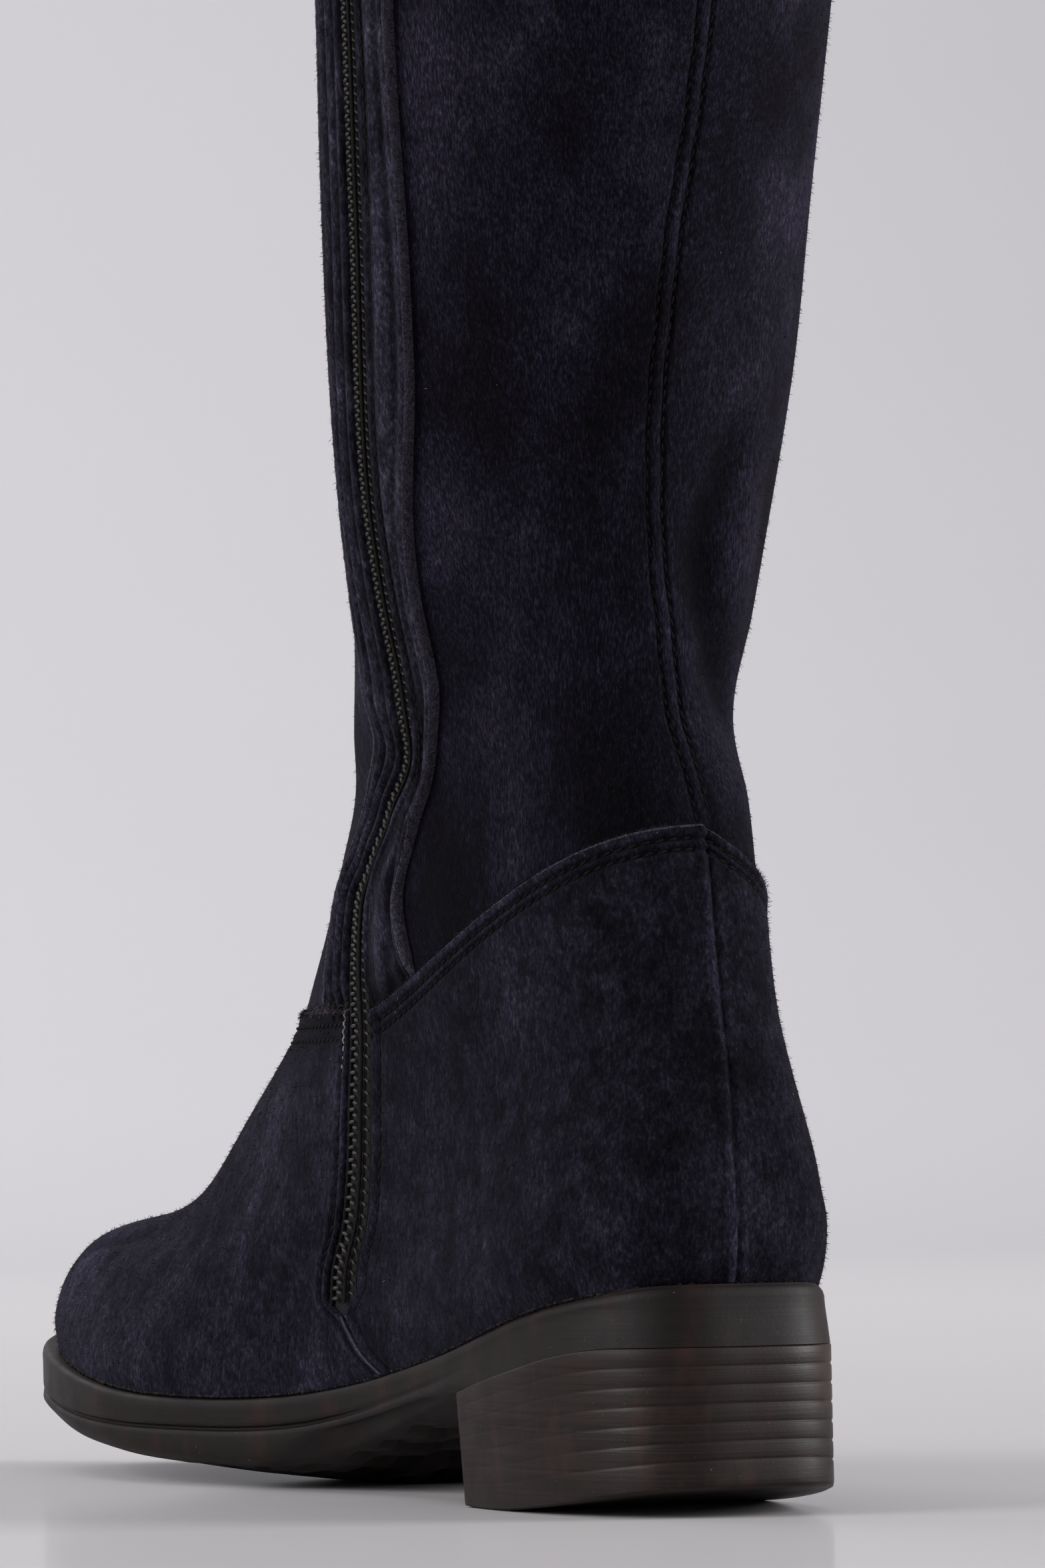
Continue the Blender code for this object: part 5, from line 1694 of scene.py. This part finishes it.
# Section of the groove between two lifts: height and inset.
LIFT_GROOVE = ((1.4, 0.0), (0.6, 0.02), (0.34, 0.14), (0.15, 0.42), (0.0, 0.5),
               (-0.15, 0.42), (-0.34, 0.14), (-0.6, 0.02))


@dataclass
class HeelBlock:
    """Block heel with stacked-lift grooves, a bevelled back edge and a hollow breast."""

    around: int = 300
    lifts: int = 7
    lift_pitch: float = 3.4
    breast_top: float = 62.6
    breast_foot: float = 60.0
    corner: float = 1.6
    bevel: float = 5.6
    bevel_from: float = 46.0
    height: float = 25.5
    seat_flare: float = 1.8
    foot_flare: float = 1.3
    foot_round: float = 1.5

    def foot_height(self, y: np.ndarray) -> np.ndarray:
        """Height of the underside."""
        reach = self.bevel_from + self.seat_flare + self.foot_flare
        return self.bevel * np.clip((self.bevel_from - y) / reach, 0.0, 1.0) ** 1.3

    def outline(self, share: float, inset: float) -> np.ndarray:
        """Closed plan outline at a height, from the back round the inner side.

        Args:
            share: share of the height.
            inset: how far it is drawn in.

        Returns:
            The outline's points, sideways and along the foot.
        """
        row = list(SOLE_OUTLINE)
        row[0] -= self.seat_flare + self.foot_flare * (1 - share)
        row[2] += 0.9 - 0.6 * (1 - share)
        row[3] = row[2] - 3.2
        breast = self.breast_foot + (self.breast_top - self.breast_foot) * share - inset
        side_end = breast - self.corner
        y, half, middle = half_outline(row, np.linspace(0.0, np.pi, 900), inset)
        keep = y < side_end
        last_half = np.interp(side_end, y, half)
        last_middle = np.interp(side_end, y, middle)
        bend = np.linspace(0.0, np.pi / 2, 12)
        corner_half = last_half - self.corner + self.corner * np.cos(bend)
        inward = np.linspace(corner_half[-1], 0.0, 60)[1:]
        hollow = 1.2 * (1 - (inward / corner_half[-1]) ** 2)
        halves = np.concatenate((half[keep], corner_half, inward))
        along = np.concatenate((y[keep], side_end + self.corner * np.sin(bend),
                                breast - hollow))
        middles = np.concatenate((middle[keep], np.full(12 + len(inward), last_middle)))
        reach = travelled(halves, along)
        wanted = np.linspace(0.0, reach[-1], self.around // 2 + 1)
        half, y, middle = (np.interp(wanted, reach, values)
                           for values in (halves, along, middles))
        inner = np.column_stack((middle - half, y))
        outer = np.column_stack((middle + half, y))
        return np.vstack((inner, outer[-2::-1]))

    def build(self) -> None:
        """Make the heel as one closed skin wound down its side."""
        # Lines down the side: share of the height, inset, and share of the plan's size.
        lines = [(1.0, 0.0, 0.0), (1.0, 0.0, 0.5), (1.0, 0.15, 1.0), (0.988, 0.0, 1.0)]
        for lift in range(1, self.lifts):
            share = 1.0 - self.lift_pitch * lift / self.height
            lines += [(share + step / self.height, inset, 1.0) for step, inset in LIFT_GROOVE]
        lines += [(self.foot_round / self.height * (1 - math.sin(angle)),
                   self.foot_round * (1 - math.cos(angle)), 1.0)
                  for angle in np.linspace(0.0, np.pi / 2, 7)]
        lines += [(0.0, self.foot_round, size) for size in (0.75, 0.5, 0.25, 0.0)]
        bm, column, row = grid_mesh(self.around, len(lines) - 1)
        points = np.array([self.line(*line) for line in lines])
        add_skin("heel_block_stacked", bm, points[row, column], Finish.HEEL, MERGE_SOLE,
                 ("heel",))

    def line(self, share: float, inset: float, size: float) -> np.ndarray:
        """Points once round the heel.

        Args:
            share: share of the height.
            inset: how far the line is drawn in.
            size: share of the plan's size, less than 1 on the end faces.

        Returns:
            Points of the line.
        """
        plan = self.outline(share, inset)
        if 0.0 < inset < 0.6 and size == 1.0 and share < 0.98:
            plain = self.outline(share, 0.0)
            fade = 0.10 + 0.36 * (1 - smooth(2.0, 22.0, plain[:, 1]))
            plan = plain + (plan - plain) * fade[:, None]
        centre = np.array((1.0, 30.0))
        flat = centre + (plan - centre) * size
        low = self.foot_height(flat[:, 1])
        top = sole_line(2, flat[:, 1]) - 0.02
        return np.column_stack((flat, low + (top - low) * share))


@dataclass
class Insole:
    """Sock lying on the sole inside the boot."""

    inset: float = 4.1
    around: int = 200

    def build(self) -> None:
        """Make the sock as a closed, softly edged board."""
        # Share of the half width, height above the sole and extra inset of each line.
        lines = ((0.0, 3.5, 0.0), (0.5, 3.5, 0.0), (0.92, 3.5, 0.0), (1.0, 3.2, 0.0),
                 (1.0, 2.4, -0.3), (1.0, 0.7, -0.3), (0.9, 0.5, 0.0), (0.0, 0.5, 0.0))
        bm, column, row = grid_mesh(self.around, len(lines) - 1)
        fold, sign = both_sides(self.around)
        section = list(SECTIONS[0][1:3]) + list(SECTIONS[0][4:])
        points = []
        for share, up, out in lines:
            y, half, middle = half_outline(section, fold, self.inset + out)
            points.append(np.column_stack((middle + sign * half * share, y,
                                           sole_line(1, y) + up)))
        add_skin("insole_sock", bm, np.array(points)[row, column], Finish.SOCK, MERGE_SOLE,
                 ("insole",))


# ---------------------------------------------------------------- stage


@dataclass
class Studio:
    """Pale sweep, soft lights and the camera behind the boot on its inner side."""

    camera_at: Triple = (-0.6431, -1.1768, 0.0746)
    right: Triple = (0.883, -0.4692, -0.0094)
    up: Triple = (-0.0138, -0.0461, 0.9988)
    lens: float = 160.32
    floor_tone: str = "B3B0B2"
    wall_tone: str = "D4D2D5"

    def build(self) -> None:
        """Make the stage, lights, world and camera."""
        self.sweep()
        self.lights()
        self.world()
        self.camera()

    def sweep(self) -> None:
        """Floor that curves up into a wall, clear when seen from behind."""
        bm, column, row = grid_mesh(4, 62)
        along = np.linspace(-9.0, 6.5, 63)[row]
        start, radius = 2.2, 1.2
        turn = np.clip((along - start) / (radius * math.pi / 2), 0.0, 1.0) * math.pi / 2
        past = np.maximum(along - start - radius * math.pi / 2, 0.0)
        y = np.where(along < start, along, start + radius * np.sin(turn))
        z = np.where(along < start, 0.0, radius * (1 - np.cos(turn)) + past)
        for vertex, c, yy, zz in zip(bm.verts, column, y, z):
            vertex.co = (-8.0 + 4.0 * c, yy, zz)
        mesh = mesh_from("studio_sweep", bm)
        material, tree, shader = new_tree("satin_board_sweep_pale")
        coords = add_node(tree, "TexCoord")
        split = add_node(tree, "SeparateXYZ", {"Vector": coords.outputs["Object"]})
        share = add_node(tree, "MapRange", {"Value": split.outputs["Y"], "From Min": 0.2,
                                            "From Max": 2.6})
        pale = ramp(tree, share.outputs["Result"], (0.0, self.floor_tone),
                    (1.0, self.wall_tone))
        tree.links.new(pale, shader.inputs["Base Color"])
        shader.inputs["Roughness"].default_value = 0.9
        shader.inputs["Specular IOR Level"].default_value = 0.0
        gloss = add_node(tree, "BsdfGlossy", {"Color": tone(0.9), "Roughness": 0.13})
        away = add_node(tree, "VectorMath", {0: coords.outputs["Object"]}, operation="LENGTH")
        fade = add_node(tree, "MapRange", {"Value": away.outputs["Value"], "From Min": 0.5,
                                           "From Max": 1.4, "To Min": 0.22, "To Max": 0.03})
        mixed = add_node(tree, "MixShader", {"Fac": fade.outputs["Result"],
                                             1: shader.outputs["BSDF"],
                                             2: gloss.outputs["BSDF"]})
        behind = add_node(tree, "NewGeometry").outputs["Backfacing"]
        clear = add_node(tree, "BsdfTransparent").outputs["BSDF"]
        shown = add_node(tree, "MixShader", {"Fac": behind, 1: mixed.outputs["Shader"],
                                             2: clear})
        tree.links.new(shown.outputs["Shader"],
                       tree.nodes["Material Output"].inputs["Surface"])
        mesh.materials.append(material)
        put("studio_sweep", mesh)

    def area(self, name: str, at: Sequence[float], target: Sequence[float], size: float,
             power: float) -> None:
        """One soft square light.

        Args:
            name: the light's name.
            at: where it hangs.
            target: what it points at.
            size: its side.
            power: its power in watts.
        """
        data = bpy.data.lights.new(name, "AREA")
        data.energy = power
        data.size = size
        light = put(name, data)
        light.location = at
        light.rotation_euler = (Vector(target) - Vector(at)).to_track_quat("-Z", "Y").to_euler()

    def lights(self) -> None:
        """Key from the left behind the camera, fill from the right, wash on the wall."""
        self.area("key", (-2.3, 0.25, 1.2), (0.0, 0.0, 0.2), 1.2, 47.0)
        self.area("fill", (2.2, -1.1, 0.9), (0.0, 0.0, 0.15), 1.1, 66.0)
        self.area("back", (-0.6, 1.8, 1.9), (0.0, 0.0, 0.2), 1.4, 18.0)
        self.area("wash", (0.8, 1.6, 2.6), (2.2, 3.4, 0.6), 1.6, 13.0)

    def world(self) -> None:
        """Even pale surroundings."""
        world = bpy.data.worlds.new("studio_world")
        world.use_nodes = True
        background = world.node_tree.nodes["Background"]
        background.inputs["Color"].default_value = tone("F2F1F4")
        background.inputs["Strength"].default_value = 0.62
        bpy.context.scene.world = world
        bpy.context.scene.view_settings.view_transform = "Standard"
        bpy.context.scene.view_settings.look = "None"

    def camera(self) -> None:
        """Camera at the shoe's own angle, just above the floor."""
        data = bpy.data.cameras.new("camera")
        data.lens = self.lens
        data.sensor_width = 36.0
        data.clip_start = 0.05
        right = Vector(self.right).normalized()
        up = (Vector(self.up) - right * right.dot(Vector(self.up))).normalized()
        back = right.cross(up)
        camera = put("camera", data)
        turn = Matrix((right, up, back)).transposed().to_4x4()
        camera.matrix_world = Matrix.Translation(Vector(self.camera_at)) @ turn
        bpy.context.scene.camera = camera


def main() -> None:
    """Load the frame, build every sub-assembly in order and log what is built."""
    logging.basicConfig(level=logging.INFO, format="%(name)s: %(message)s")
    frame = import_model()
    LOG.info("%d nodes in the frame", len(frame["nodes"]))
    for part in (Studio(), SoleUnit(), HeelBlock(), Insole(), Shaft(), FootLeather(),
                 SideZip(), Stitching(), Nap()):
        part.build()
        LOG.info("built %s", type(part).__name__)


if __name__ == "__main__":
    main()
